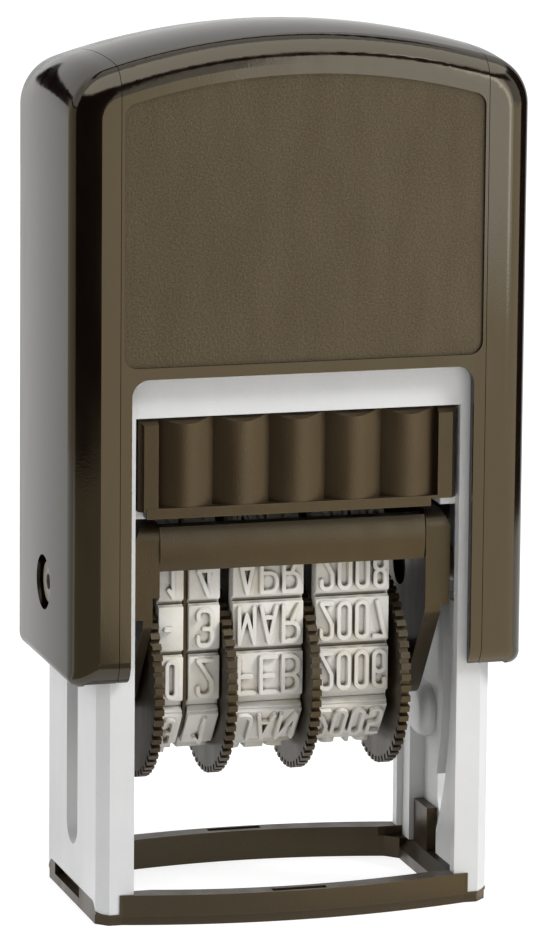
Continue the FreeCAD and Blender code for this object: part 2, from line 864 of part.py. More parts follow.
def pivot_pin():
    head_end = half_cap - pivot_head_recess
    head_start = head_end - pivot_head_length
    shaft = x_cylinder(pivot_radius, pivot_tip, head_start, pivot_height)
    head = x_cylinder(pivot_head_radius, head_start, head_end, pivot_height)
    end = half_cap - pivot_end_recess
    stub = x_cylinder(pivot_radius, head_start, end, pivot_height)
    hole = x_cylinder(pivot_hole_radius, end - pivot_hole_depth, end + overrun, pivot_height)
    return shaft.fuse([head, stub]).cut(hole)


# Pad cassette
# What the tray's front loses beside one rounded rib
def rib_cutter(index):
    span = tray_half - rib_margin
    pitch = 2 * span / rib_count
    half = pitch / 2
    radius = (half ** 2 + rib_depth ** 2) / (2 * rib_depth)
    centre_x = (index + 0.5) * pitch - span
    low, high = tray_bottom + lip_overlap, tray_top + overrun
    slab = box(centre_x - half, centre_x + half, -tray_front - overrun, -tray_front + rib_depth, low, high)
    rib = Part.makeCylinder(radius, high - low, Vector(centre_x, radius - tray_front, low))
    return slab.cut(rib)


def pad_tray():
    body = box(-tray_half, tray_half, -tray_front, tray_back, tray_bottom, tray_top)
    corners = edges_where(body, lambda e: runs_along(e, Vector(0, 0, 1))
                          or (runs_along(e, Vector(1, 0, 0)) and e.Vertexes[0].Point.z > tray_bottom))
    body = body.makeChamfer(pad_edge_radius, corners)
    pocket = box(-tray_half + tray_side_wall, tray_half - tray_side_wall, -tray_front + tray_front_wall,
                 tray_back - tray_back_wall, tray_bottom - overrun, tray_top - tray_roof)
    back_relief = box(-tray_half - overrun, tray_half + overrun, 0, tray_back + overrun, tray_bottom - overrun,
                      tray_bottom + tray_back_lift)
    side_keep = box(tray_half - tray_side_wall, tray_half + 2 * overrun, -overrun, tray_back + 2 * overrun,
                    tray_bottom - 2 * overrun, tray_bottom + tray_back_lift + overrun)
    back_relief = back_relief.cut([side_keep, mirror_x(side_keep)])
    lip_half = tray_half - lip_margin
    lip = box(lip_offset - lip_half, lip_offset + lip_half, -tray_front - lip_proud,
              -tray_front + lip_depth, tray_bottom - lip_drop, tray_bottom + lip_overlap)
    cutters = [rib_cutter(index) for index in range(rib_count)]
    return body.cut([pocket, back_relief] + cutters).fuse(lip)


def ink_pad():
    half_x = tray_half - tray_side_wall - pad_side_gap
    low_y = -tray_front + tray_front_wall + pad_side_gap
    high_y = tray_back - tray_back_wall - pad_side_gap
    body = box(-half_x, half_x, low_y, high_y, pad_face, pad_face + pad_thickness)
    return body.makeFillet(pad_edge_radius, edges_where(body, lambda e: e.BoundBox.ZMax < pad_face + overrun))


# Date bands
def date_band(left, width):
    core = along_x(belt_edges(band_circles, band_thickness / 2), left, left + width)
    inside = along_x(belt_edges(band_circles, -band_thickness / 2), left - overrun, left + width + overrun)
    belt = core.cut(inside)
    pitch = belt_length(band_circles) / block_count
    blocks = [type_block(index * pitch, left, width) for index in range(block_count)]
    return belt.fuse(blocks)


def type_block(distance, left, width):
    point, angle = belt_place(band_circles, distance)
    out = Vector(0, math.cos(angle), math.sin(angle))
    along = Vector(0, -math.sin(angle), math.cos(angle)) * (block_length / 2)
    foot = point.sub(out * (band_thickness / 4))
    face = point.add(out * (band_thickness / 2 + block_height))
    outline = closed_outline([foot.sub(along), foot.add(along), face.add(along), face.sub(along)])
    return along_x(outline, left, left + width)


# Thumbwheels, each one moulding with the drum that drives its band
def toothed_disc(left):
    root = wheel_radius - tooth_depth
    step = 2 * math.pi / tooth_count
    points = []
    for index in range(tooth_count):
        start = index * step
        for share, radius in ((0, root), (0, wheel_radius), (tooth_share, wheel_radius), (tooth_share, root)):
            angle = start + step * share
            points.append(Vector(0, radius * math.cos(angle), drum_height + radius * math.sin(angle)))
    return along_x(closed_outline(points), left, left + wheel_thickness)


def web_recess(left):
    outer = wheel_radius - tooth_depth - wheel_rim_width
    recess = x_cylinder(outer, left - overrun, left + wheel_web_recess, drum_height)
    hub = x_cylinder(hub_radius, left - 2 * overrun, left + 2 * overrun, drum_height)
    return recess.cut(hub)


def thumbwheel(disc_left, drum_low, drum_high, open_side):
    body = toothed_disc(disc_left)
    recess = web_recess(disc_left)
    if open_side > 0:
        middle = disc_left + wheel_thickness / 2
        recess = recess.mirror(Vector(middle, 0, 0), Vector(1, 0, 0))
    drum = x_cylinder(drum_radius, drum_low, drum_high, drum_height)
    bore = x_cylinder(axle_radius + axle_fit, -half_frame, half_frame, drum_height)
    return body.cut(recess).fuse(drum).cut(bore)


def wheels():
    tens = thumbwheel(tens_wheel_left, tens_wheel_left + wheel_thickness, tens_left + tens_width, -1)
    units = thumbwheel(units_wheel_left, units_left, units_wheel_left, 1)
    month_drum_left = units_wheel_left + wheel_thickness + wheel_side_gap
    month = thumbwheel(month_wheel_left, month_drum_left, month_wheel_left, 1)
    year_drum_left = month_wheel_left + wheel_thickness + wheel_side_gap
    year = thumbwheel(year_wheel_left, year_drum_left, year_wheel_left, 1)
    spacer = x_cylinder(hub_radius, year_wheel_left + wheel_thickness, cheek_inner - wheel_side_gap, drum_height)
    bore = x_cylinder(axle_radius + axle_fit, -half_frame, half_frame, drum_height)
    year = year.fuse(spacer.cut(bore))
    return {"thumbwheel_tens": tens, "thumbwheel_units": units, "thumbwheel_month": month,
            "thumbwheel_year": year}


# Date carrier
def cheek_profile():
    foot = (0, drum_height, cheek_foot_radius)
    radius = cheek_corner_radius
    side = cheek_half_depth - radius
    circles = [foot, (side, cheek_step_height, radius), (side, cheek_top - radius, radius),
               (-side, cheek_top - radius, radius), (-side, cheek_step_height, radius)]
    return belt_edges(circles, 0)


def cheek(inner, lower_inner):
    plate = along_x(cheek_profile(), inner, cheek_outer)
    step = box(cheek_outer - cheek_step, cheek_outer + overrun, -cheek_half_depth - overrun,
               cheek_half_depth + overrun, 0, cheek_step_height)
    wheel_room = box(inner - overrun, lower_inner, -cheek_half_depth - overrun, cheek_half_depth + overrun,
                     0, drum_height + wheel_radius + slide_gap)
    pin = x_cylinder(guide_pin_radius, cheek_outer, cheek_outer + guide_pin_length, pivot_height + guide_pin_reach)
    pivot_hole = x_cylinder(pivot_radius + pivot_fit, 0, half_frame, pivot_height)
    axle_hole = x_cylinder(axle_radius, 0, half_frame, drum_height)
    edge_cut = cheek_edge_cut()
    return plate.cut([step, wheel_room, edge_cut, pivot_hole, axle_hole]).fuse(pin)


def cheek_edge_cut():
    low = cheek_outer - cheek_edge_chamfer
    corner = closed_outline([Vector(low, 0, cheek_top), Vector(cheek_outer, 0, cheek_top - 2 * cheek_edge_chamfer),
                             Vector(cheek_outer + overrun, 0, cheek_top), Vector(cheek_outer, 0, cheek_top + overrun),
                             Vector(low, 0, cheek_top + overrun)])
    return along_y(corner, -cheek_half_depth - overrun, cheek_half_depth + overrun)


def carrier_bar():
    front = -cheek_half_depth + bar_bulge / 2
    back = front + bar_thickness
    middle = (bar_bottom + bar_top) / 2
    low_front, high_front = Vector(0, front, bar_bottom), Vector(0, front, bar_top)
    edges = [
        arc(low_front, Vector(0, front - bar_bulge, middle), high_front),
        line(high_front, Vector(0, back, bar_top)),
        line(Vector(0, back, bar_top), Vector(0, back, bar_bottom)),
        line(Vector(0, back, bar_bottom), low_front),
    ]
    return along_x(edges, -cheek_inner, cheek_inner - bar_joint_gap)


def date_carrier():
    left = mirror_x(cheek(cheek_inner, wheel_side_gap - tens_wheel_left))
    bar = carrier_bar()
    return left.fuse([bar, mirror_y(bar)])


def carrier_end_plate():
    return cheek(cheek_inner, cheek_inner)


def type_bridge():
    return along_x(belt_edges(bridge_circles, -band_thickness / 2), -cheek_inner, cheek_inner)


def band_divider():
    radius = band_core_radius + band_thickness / 2 + block_height - divider_radius_drop
    top_half = shoulder_half_width + shoulder_radius + band_thickness / 2
    circles = [(0, drum_height, radius), (top_half - nose_radius, divider_top - nose_radius, nose_radius),
               (-top_half + nose_radius, divider_top - nose_radius, nose_radius)]
    middle = (tens_left + tens_width + units_left) / 2
    left, right = middle - divider_thickness / 2, middle + divider_thickness / 2
    plate = along_x(belt_edges(circles, 0), left, right)
    bridge = along_x(belt_edges(bridge_circles, divider_fit - band_thickness / 2), left - overrun,
                     right + overrun)
    above = box(left - overrun, right + overrun, -shoulder_half_width, shoulder_half_width,
                shoulder_height, divider_top + overrun)
    hole = x_cylinder(axle_radius + divider_fit, left - overrun, right + overrun, drum_height)
    return plate.cut([bridge, above, hole])


def wheel_axle():
    end = cheek_outer - cheek_step
    return x_cylinder(axle_radius, -end, end, drum_height)


def build():
    save("base_ring", base_ring())
    save("stand_frame", stand_frame())
    save("return_spring", return_spring())
    form = cap_form()
    save("cap_shell", cap_shell(form))
    save("cap_saddle", cap_saddle(form))
    save("pivot_pin_right", pivot_pin())
    save("pivot_pin_left", mirror_x(pivot_pin()))
    save("pad_tray", pad_tray())
    save("ink_pad", ink_pad())
    save("date_carrier", date_carrier())
    save("carrier_end_plate", carrier_end_plate())
    save("type_bridge", type_bridge())
    save("band_divider", band_divider())
    save("wheel_axle", wheel_axle())
    bands = {"band_tens": (tens_left, tens_width), "band_units": (units_left, units_width),
             "band_month": (month_left, month_width), "band_year": (year_left, year_width)}
    for name, (left, width) in bands.items():
        save(name, date_band(left, width))
    for name, wheel in wheels().items():
        save(name, wheel)


build()
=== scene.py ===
"""Looks of the self-inking date stamp: finishes, rubber bands, spring, felt pad, studio and camera."""
import json
import math

import bmesh
import bpy
from mathutils import Matrix, Vector


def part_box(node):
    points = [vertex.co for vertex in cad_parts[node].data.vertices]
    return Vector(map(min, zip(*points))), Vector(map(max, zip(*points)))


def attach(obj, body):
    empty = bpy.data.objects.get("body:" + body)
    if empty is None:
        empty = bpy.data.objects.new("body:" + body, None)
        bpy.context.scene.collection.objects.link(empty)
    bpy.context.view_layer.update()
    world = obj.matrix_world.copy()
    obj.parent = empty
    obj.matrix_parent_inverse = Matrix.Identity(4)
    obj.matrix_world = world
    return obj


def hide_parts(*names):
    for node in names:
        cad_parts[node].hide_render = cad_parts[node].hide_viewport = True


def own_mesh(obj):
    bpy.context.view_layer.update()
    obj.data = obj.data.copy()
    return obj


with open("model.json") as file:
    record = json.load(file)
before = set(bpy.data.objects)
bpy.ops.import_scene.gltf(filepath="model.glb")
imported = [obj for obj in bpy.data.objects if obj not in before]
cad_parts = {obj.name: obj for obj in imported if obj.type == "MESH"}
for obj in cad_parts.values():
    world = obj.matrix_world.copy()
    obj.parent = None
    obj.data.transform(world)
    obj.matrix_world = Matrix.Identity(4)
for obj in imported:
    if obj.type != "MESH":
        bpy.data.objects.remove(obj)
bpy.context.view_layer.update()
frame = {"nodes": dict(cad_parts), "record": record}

mm = 0.001

# Camera, as fitted to the photograph's 540 by 945 frame
picture_height_px = 945
focal_px = 6686.9
sensor_height = 36
camera_azimuth = -15.99
camera_elevation = 11.508
camera_roll = 0.512
camera_distance = 644.24 * mm
camera_target = Vector((0.072 * mm, 0, 41.309 * mm))

# Studio
floor_half = 3.0
floor_drop = 0.05 * mm
floor_tone = 0.9
floor_glow_share = 0.6
floor_glow = 0.84
room_light = 0.36
key_azimuth = 56
key_elevation = 42
key_distance = 0.9
key_size = 0.25
key_power = 6.2
fill_azimuth = -122
fill_elevation = 24
fill_distance = 0.9
fill_size = 0.8
fill_power = 3.9
card_step = 6

# Cards that only the gloss sees: first and last azimuth, distances and heights of both edges, glow
cards = {
    "near_dark_card": (-90, 5, 240 * mm, 240 * mm, 0, 215 * mm, 0),
    "near_table_card": (-90, 5, 50 * mm, 239 * mm, 0.5 * mm, 0.5 * mm, 0.5),
    "left_brown_card": (-146, -90, 240 * mm, 240 * mm, 0, 110 * mm, 0.5),
    "left_dark_strip": (-176, -90, 300 * mm, 300 * mm, 78 * mm, 135 * mm, 0),
    "front_dark_strip": (-60, 60, 300 * mm, 300 * mm, 182 * mm, 254 * mm, 0),
    "back_dark_strip": (120, 240, 300 * mm, 300 * mm, 450 * mm, 600 * mm, 0),
    "back_grey_card": (110, 250, 460 * mm, 460 * mm, 0, 440 * mm, 0.74),
    "overhead_box": (-90, 90, 520 * mm, 20 * mm, 430 * mm, 800 * mm, 2.7),
    "table_card": (5, 72, 22 * mm, 900 * mm, 0, 0, 1.9),
    "left_table_card": (-180, -100, 30 * mm, 900 * mm, 0.2 * mm, 0.2 * mm, 0.76),
    "soft_box": (14, 40, 380 * mm, 380 * mm, 1 * mm, 320 * mm, 3.0),
    "bright_tube": (26, 32, 370 * mm, 370 * mm, 1 * mm, 320 * mm, 6),
    "right_dark_card": (72, 112, 200 * mm, 200 * mm, 0, 220 * mm, 0)}
warm_cards = ("table_card", "near_table_card", "left_brown_card")

# Belt path in the YZ plane: drum of the thumbwheel, then shoulders and noses of the type bridge
drum_height = 21.8 * mm
drum_radius = 5.5 * mm
shoulder_reach = 4.4 * mm
shoulder_height = 34.95 * mm
shoulder_radius = 1.1 * mm
nose_reach = 1.65 * mm
nose_height = 38.55 * mm
nose_radius = 0.9 * mm
path_steps_per_turn = 72

# Belt, type blocks and characters
belt_thickness = 0.8 * mm
block_count = 12
block_rise = 0.7 * mm
block_length = 4.25 * mm
block_step_rise = 0.34 * mm
block_step_length = 4.62 * mm
block_side_gap = 0.03 * mm
block_edge_radius = 0.05 * mm
block_edge_segments = 2
type_rise = 0.45 * mm
type_sink = 0.05 * mm
type_height = 3.8 * mm
stroke_width = 0.35 * mm
stroke_draft = 0.07 * mm
stroke_drop = 0.005 * mm
repeat_distance = stroke_drop / 10
corner_steps = 8
stroke_end_steps = 7
mitre_floor = 0.4
rubber_smooth_angle = 32

# Characters on each band: width of one, space between them, and the rows from the top over the front
tens_width = 1.26 * mm
units_width = 1.7 * mm
month_width = 1.86 * mm
month_space = 0.34 * mm
year_width = 1.43 * mm
year_space = 0.34 * mm
tens_rows = ("3", "2", "1", "-", "0", "3", "2", "1", "-", "0", "2", "1")
units_rows = ("6", "5", "4", "3", "2", "1", "-", "-", "0", "9", "8", "7")
month_rows = ("JUN", "MAY", "APR", "MAR", "FEB", "JAN", "DEC", "NOV", "OCT", "SEP", "AUG", "JUL")
first_year = 2010

# Return spring
spring_wire = 0.8 * mm
spring_turns = 8
spring_end_rise_share = 1.6
spring_steps_per_turn = 36
wire_sides = 4

# Felt pad
felt_cuts = 18
felt_edge = 0.5 * mm
felt_edge_segments = 3
felt_sharp_angle = 60
felt_crown = 0.3 * mm
felt_waist = 0.12 * mm

# Colours, as the surfaces show them in plain light
deep_brown = (0.0065, 0.0035, 0.0025)
deep_brown_worn = (0.03, 0.023, 0.014)
brown_gloss_tint = (1.0, 0.9, 0.7)
brown_matte_tint = (1.0, 0.86, 0.6)
grained_brown = (0.029, 0.018, 0.006)
matte_brown = (0.022, 0.013, 0.006)
matte_brown_worn = (0.075, 0.058, 0.034)
# A darker grey for the pivot pins, and the brown of their grease, which also paints shade in their bores
dark_pin_grey = (0.3, 0.275, 0.235)
grease_and_bore_shade = (0.05, 0.035, 0.02)
pale_grey = (0.73, 0.735, 0.735)
pale_grey_worn = (0.5, 0.49, 0.47)
rubber_white = (0.8, 0.775, 0.73)
rubber_stain = (0.7, 0.62, 0.43)
# Dark brown of the rubber's specks and grime, also used as painted shade in its grooves
rubber_grime_and_shade = (0.1, 0.074, 0.04)
drawn_steel = (0.62, 0.62, 0.64)
drawn_steel_dull = (0.4, 0.4, 0.41)
ink_black = (0.006, 0.006, 0.012)
ink_worn = (0.03, 0.03, 0.045)
white = (1, 1, 1)
black = (0.002, 0.002, 0.002)
warm = (1.0, 0.88, 0.66)

# Plastics: sizes and depths of clouds, patches and grain, the reach of the pins' grease and painted shade,
# shares of tone and wear, roughness from and to
plastic_cloud = 9 * mm
wear_patch = 1.6 * mm
wear_onset = 0.03
wear_full = 0.3
plain_tone_share = 0.12
plain_wear_share = 0.6
plain_edge_radius = 0.25 * mm
scuff_size = 2.2 * mm
scuff_stretch = (1, 1, 0.25)
matte_grain = 0.16 * mm
matte_grain_depth = 0.014 * mm
matte_roughness = (0.3, 0.42)
matte_specular = 0.5
gloss_grain = 0.22 * mm
gloss_grain_depth = 0.002 * mm
gloss_edge_radius = 0.15 * mm
gloss_wear_share = 0.35
gloss_roughness = (0.08, 0.15)
gloss_specular = 0.7
panel_mottle = 0.17 * mm
panel_shade_shares = (0.25, 1.75)
panel_grain_depth = 0.03 * mm
panel_roughness = (0.5, 0.6)
grey_grain = 0.14 * mm
grey_grain_depth = 0.015 * mm
grey_tone_share = 0.03
grey_wear_share = 0.25
grey_roughness = (0.34, 0.5)
bore_grease_and_shade_reach = 2.0 * mm
grease_smear = 1.1 * mm
greased_grain = 0.15 * mm
greased_grain_depth = 0.01 * mm
greased_roughness = (0.25, 0.4)

# Rubber, ink, steel and felt: sizes and depths of clouds, dirt with painted shade in the grooves, lines and
# fibres, roughness from and to
rubber_cloud = 3 * mm
rubber_speck = 0.25 * mm
rubber_grain = 0.14 * mm
rubber_grain_depth = 0.03 * mm
rubber_roughness = (0.5, 0.72)
grime_and_shade_reach = 0.5 * mm
ink_blotch = 0.8 * mm
steel_line = 0.25 * mm
steel_line_stretch = (1, 1, 4)
steel_line_depth = 0.01 * mm
steel_roughness = (0.2, 0.42)
fibre_size = 0.12 * mm
fibre_depth = 0.08 * mm
dry_patch = 4 * mm
felt_roughness = (0.45, 0.9)
felt_sheen = 0.3

# Matte panel in the front and back of the cap, as the saddle's recess carries it
panel_floor_low = 11.4 * mm
panel_floor_high = 11.7 * mm
panel_bottom = 54.3 * mm
panel_flatness = 0.995
panel_reach = 0.1 * mm

# Heights between which the ink on the type begins, and how full the cap's side walls look
ink_line_low = 38.2 * mm
ink_line_high = 39.6 * mm
side_fullness_radius = 100 * mm

# Two small dimples on the front bar of the ring
dimple_places = ((14.35 * mm, -11.5 * mm, 1.95 * mm), (15.35 * mm, -11.35 * mm, 2.15 * mm))
dimple_radius = 0.3 * mm
dimple_depth = 0.12 * mm


# Directions and places
def direction(azimuth, elevation):
    across = math.radians(azimuth)
    rise = math.radians(elevation)
    return Vector((math.sin(across) * math.cos(rise), -math.cos(across) * math.cos(rise), math.sin(rise)))


def facing(place, target):
    turn = (target - place).to_track_quat("-Z", "Y")
    return Matrix.Translation(place) @ turn.to_matrix().to_4x4()


def show(name, data):
    piece = bpy.data.objects.new(name, data)
    bpy.context.scene.collection.objects.link(piece)
    return piece


# Node helpers for the finishes
def node(tree, kind, **settings):
    made = tree.nodes.new(kind)
    for key, value in settings.items():
        setattr(made, key, value)
    return made


def fill(tree, socket, value):
    if isinstance(value, bpy.types.NodeSocket):
        tree.links.new(value, socket)
    else:
        socket.default_value = value


def object_place(tree):
    return node(tree, "ShaderNodeTexCoord").outputs["Object"]


def noise(tree, size, detail=3, stretch=None):
    texture = node(tree, "ShaderNodeTexNoise")
    place = object_place(tree)
    if stretch:
        mapping = node(tree, "ShaderNodeMapping")
        fill(tree, mapping.inputs["Vector"], place)
        fill(tree, mapping.inputs["Scale"], stretch)
        place = mapping.outputs["Vector"]
    fill(tree, texture.inputs["Vector"], place)
    fill(tree, texture.inputs["Scale"], 1 / size)
    fill(tree, texture.inputs["Detail"], detail)
    return texture.outputs["Fac"]


def spread(tree, value, low, high, new_low, new_high):
    ranged = node(tree, "ShaderNodeMapRange")
    for name, amount in (("Value", value), ("From Min", low), ("From Max", high), ("To Min", new_low),
                         ("To Max", new_high)):
        fill(tree, ranged.inputs[name], amount)
    return ranged.outputs["Result"]


def math_node(tree, operation, first, second=0.0):
    sums = node(tree, "ShaderNodeMath", operation=operation)
    fill(tree, sums.inputs[0], first)
    fill(tree, sums.inputs[1], second)
    return sums.outputs["Value"]


def mix(tree, share, first, second):
    mixer = node(tree, "ShaderNodeMix", data_type="RGBA")
    fill(tree, mixer.inputs["Factor"], share)
    for name, colour in (("A", first), ("B", second)):
        socket = [s for s in mixer.inputs if s.name == name and s.type == "RGBA"][0]
        fill(tree, socket, colour if isinstance(colour, bpy.types.NodeSocket) else (*colour, 1))
    return [s for s in mixer.outputs if s.type == "RGBA"][0]


def bump(tree, height, depth, normal=None):
    relief = node(tree, "ShaderNodeBump")
    fill(tree, relief.inputs["Height"], height)
    fill(tree, relief.inputs["Distance"], depth)
    if normal is not None:
        fill(tree, relief.inputs["Normal"], normal)
    return relief.outputs["Normal"]


def worn_edges(tree, radius):
    rounded = node(tree, "ShaderNodeBevel", samples=4)
    fill(tree, rounded.inputs["Radius"], radius)
    across = node(tree, "ShaderNodeVectorMath", operation="DOT_PRODUCT")
    fill(tree, across.inputs[0], rounded.outputs["Normal"])
    fill(tree, across.inputs[1], node(tree, "ShaderNodeNewGeometry").outputs["Normal"])
    bend = math_node(tree, "SUBTRACT", 1.0, across.outputs["Value"])
    return spread(tree, bend, wear_onset, wear_full, 0.0, 1.0)


def new_finish(name):
    finish = bpy.data.materials.new(name)
    finish.use_nodes = True
    return finish, finish.node_tree, finish.node_tree.nodes["Principled BSDF"]


def place_axes(tree):
    place = node(tree, "ShaderNodeSeparateXYZ")
    fill(tree, place.inputs["Vector"], object_place(tree))
    return place.outputs


# How open a spot is to its surroundings: less in grooves and holes
def open_share(tree, reach):
    hidden = node(tree, "ShaderNodeAmbientOcclusion", samples=8)
    fill(tree, hidden.inputs["Distance"], reach)
    return hidden.outputs["AO"]


def coat(tree, shader, colour, roughness, normal):
    for name, value in (("Base Color", colour), ("Roughness", roughness), ("Normal", normal)):
        fill(tree, shader.inputs[name], value)


def tint_gloss(shader, level, tint):
    shader.inputs["Specular IOR Level"].default_value = level
    shader.inputs["Specular Tint"].default_value = (*tint, 1)


# A moulded plastic: uneven tone, fine grain with flecks, and rubbed edges
def plastic_layers(tree, colour, worn, grain_size, tone=plain_tone_share, edge_radius=plain_edge_radius,
                   wear=plain_wear_share):
    cloud = spread(tree, noise(tree, plastic_cloud, 2), 0.3, 0.7, 0.0, 1.0)
    uneven = mix(tree, cloud, shade_of(colour, 1 - tone), shade_of(colour, 1 + tone))
    patchy = spread(tree, noise(tree, wear_patch, 4), 0.42, 0.6, 0.25, 1.0)
    edges = math_node(tree, "MULTIPLY", worn_edges(tree, edge_radius), patchy)
    grain = noise(tree, grain_size, 2)
    flecks = spread(tree, grain, 0.62, 0.8, 0.0, 0.35)
    rubbed = math_node(tree, "MAXIMUM", math_node(tree, "MULTIPLY", edges, wear), flecks)
    return mix(tree, rubbed, uneven, worn), grain


def shade_of(colour, share):
    return tuple(channel * share for channel in colour)


def scuffs(tree, low, high):
    streaks = noise(tree, scuff_size, 4, stretch=scuff_stretch)
    return spread(tree, streaks, 0.35, 0.7, low, high)


def matte_dark(name):
    finish, tree, shader = new_finish(name)
    colour, grain = plastic_layers(tree, matte_brown, matte_brown_worn, matte_grain)
    coat(tree, shader, colour, scuffs(tree, *matte_roughness), bump(tree, grain, matte_grain_depth))
    tint_gloss(shader, matte_specular, brown_matte_tint)
    return finish


def dimpled_dark(name):
    finish = matte_dark(name)
    tree = finish.node_tree
    normal = tree.nodes["Principled BSDF"].inputs["Normal"]
    grained = normal.links[0].from_socket
    fill(tree, normal, bump(tree, dimples(tree), dimple_depth, grained))
    return finish


def dimples(tree):
    nearest = None
    for place in dimple_places:
        apart = node(tree, "ShaderNodeVectorMath", operation="DISTANCE")
        fill(tree, apart.inputs[0], object_place(tree))
        fill(tree, apart.inputs[1], place)
        distance = apart.outputs["Value"]
        nearest = distance if nearest is None else math_node(tree, "MINIMUM", nearest, distance)
    return spread(tree, nearest, dimple_radius / 2, dimple_radius, 0.0, 1.0)


def gloss_dark(name, panel=False):
    finish, tree, shader = new_finish(name)
    colour, grain = plastic_layers(tree, deep_brown, deep_brown_worn, gloss_grain,
                                   edge_radius=gloss_edge_radius, wear=gloss_wear_share)
    roughness = scuffs(tree, *gloss_roughness)
    depth = gloss_grain_depth
    if panel:
        matte = panel_mask(tree)
        colour = mix(tree, matte, colour, panel_colour(tree))
        roughness = spread(tree, matte, 0.0, 1.0, roughness, scuffs(tree, *panel_roughness))
        depth = spread(tree, matte, 0.0, 1.0, depth, panel_grain_depth)
    coat(tree, shader, colour, roughness, bump(tree, grain, depth, full_sides(tree)))
    tint_gloss(shader, gloss_specular, brown_gloss_tint)
    return finish


# The cap's side walls catch the light as if slightly full from front to back
def full_sides(tree):
    fall = math_node(tree, "POWER", math_node(tree, "ABSOLUTE", place_axes(tree)["Y"]), 2.0)
    return bump(tree, math_node(tree, "MULTIPLY", fall, -1 / (2 * side_fullness_radius)), 1.0)


def panel_mask(tree):
    place = place_axes(tree)
    depth = math_node(tree, "ABSOLUTE", place["Y"])
    inside = math_node(tree, "MULTIPLY", math_node(tree, "GREATER_THAN", depth, panel_floor_low),
                       math_node(tree, "LESS_THAN", depth, panel_floor_high))
    above = math_node(tree, "GREATER_THAN", place["Z"], panel_bottom - panel_reach)
    facing_out = node(tree, "ShaderNodeSeparateXYZ")
    fill(tree, facing_out.inputs["Vector"], node(tree, "ShaderNodeNewGeometry").outputs["Normal"])
    outward = math_node(tree, "ABSOLUTE", facing_out.outputs["Y"])
    flat = math_node(tree, "GREATER_THAN", outward, panel_flatness)
    return math_node(tree, "MULTIPLY", math_node(tree, "MULTIPLY", inside, above), flat)


def panel_colour(tree):
    mottle = spread(tree, noise(tree, panel_mottle, 3), 0.36, 0.66, 0.0, 1.0)
    return mix(tree, mottle, *(shade_of(grained_brown, share) for share in panel_shade_shares))


def light_grey(name):
    finish, tree, shader = new_finish(name)
    colour, grain = plastic_layers(tree, pale_grey, pale_grey_worn, grey_grain, tone=grey_tone_share,
                                   wear=grey_wear_share)
    coat(tree, shader, colour, scuffs(tree, *grey_roughness), bump(tree, grain, grey_grain_depth))
    return finish


# Off-white rubber: yellowed in clouds, specked, and grimy in the grooves, where painted shade darkens it
# further
def band_rubber(name):
    finish, tree, shader = new_finish(name)
    cloud = spread(tree, noise(tree, rubber_cloud, 4), 0.45, 0.75, 0.0, 0.5)
    aged = mix(tree, cloud, rubber_white, rubber_stain)
    # Grooves, corners and the walls of the type are darkened by how closed in they are: grime together with
    # painted shade
    groove_grime_and_shade = spread(tree, open_share(tree, grime_and_shade_reach), 0.35, 0.78, 1.0, 0.0)
    specks = spread(tree, noise(tree, rubber_speck, 3), 0.68, 0.78, 0.0, 0.4)
    dirty_and_shaded = mix(tree, specks, mix(tree, groove_grime_and_shade, aged, rubber_grime_and_shade), rubber_grime_and_shade)
    coat(tree, shader, mix(tree, ink_stain(tree), dirty_and_shaded, ink_worn), scuffs(tree, *rubber_roughness),
         bump(tree, noise(tree, rubber_grain, 3), rubber_grain_depth))
    return finish


# The row that meets the pad is blotched with ink
def ink_stain(tree):
    reached = spread(tree, place_axes(tree)["Z"], ink_line_low, ink_line_high, 0.0, 1.0)
    blotches = spread(tree, noise(tree, ink_blotch, 4), 0.3, 0.5, 0.75, 1.0)
    return math_node(tree, "MULTIPLY", reached, blotches)


# The pin's plastic is a darker grey than the frame's, smeared with grease, and its bore is blackened by
# grease together with painted shade
def greased_plastic(name):
    finish, tree, shader = new_finish(name)
    # The bore and other closed-in spots are darkened: grease together with painted shade
    bore_grease_and_shade = spread(tree, open_share(tree, bore_grease_and_shade_reach), 0.25, 0.8, 1.0, 0.0)
    smear = spread(tree, noise(tree, grease_smear, 3), 0.3, 0.7, 0.0, 0.5)
    colour = mix(tree, math_node(tree, "MAXIMUM", bore_grease_and_shade, smear), dark_pin_grey, grease_and_bore_shade)
    coat(tree, shader, colour, scuffs(tree, *greased_roughness),
         bump(tree, noise(tree, greased_grain, 2), greased_grain_depth))
    return finish


def steel(name):
    finish, tree, shader = new_finish(name)
    drawn = noise(tree, steel_line, 3, stretch=steel_line_stretch)
    coat(tree, shader, mix(tree, drawn, drawn_steel_dull, drawn_steel),
         spread(tree, drawn, 0.3, 0.7, *steel_roughness), bump(tree, drawn, steel_line_depth))
    shader.inputs["Metallic"].default_value = 1.0
    return finish


def ink_felt(name):
    finish, tree, shader = new_finish(name)
    fibres = noise(tree, fibre_size, 6)
    dry = spread(tree, noise(tree, dry_patch, 3), 0.4, 0.75, 0.0, 1.0)
    colour = mix(tree, math_node(tree, "MULTIPLY", fibres, dry), ink_black, ink_worn)
    coat(tree, shader, colour, spread(tree, dry, 0.0, 1.0, *felt_roughness), bump(tree, fibres, fibre_depth))
    shader.inputs["Sheen Weight"].default_value = felt_sheen
    return finish


def dress(name, finish):
    slots = frame["nodes"][name].data.materials
    if len(slots):
        slots[0] = finish
    else:
        slots.append(finish)


def dress_nodes():
    finishes = {"matte_dark": matte_dark("matte_dark_plastic"),
                "light_grey": light_grey("light_grey_plastic"),
                "gloss_dark": gloss_dark("gloss_dark_plastic"),
                "steel": bright, "band_rubber": rubber, "ink_felt": felt}
    for part in frame["record"]["subparts"]:
        dress(part["node"], finishes[part["material_slot"]])
    dress("cap_saddle", gloss_dark("saddle_dark_plastic", panel=True))
    dress("base_ring", dimpled_dark("ring_dark_plastic"))
    greased = greased_plastic("greased_grey_plastic")
    for pin in ("pivot_pin_left", "pivot_pin_right"):
        dress(pin, greased)


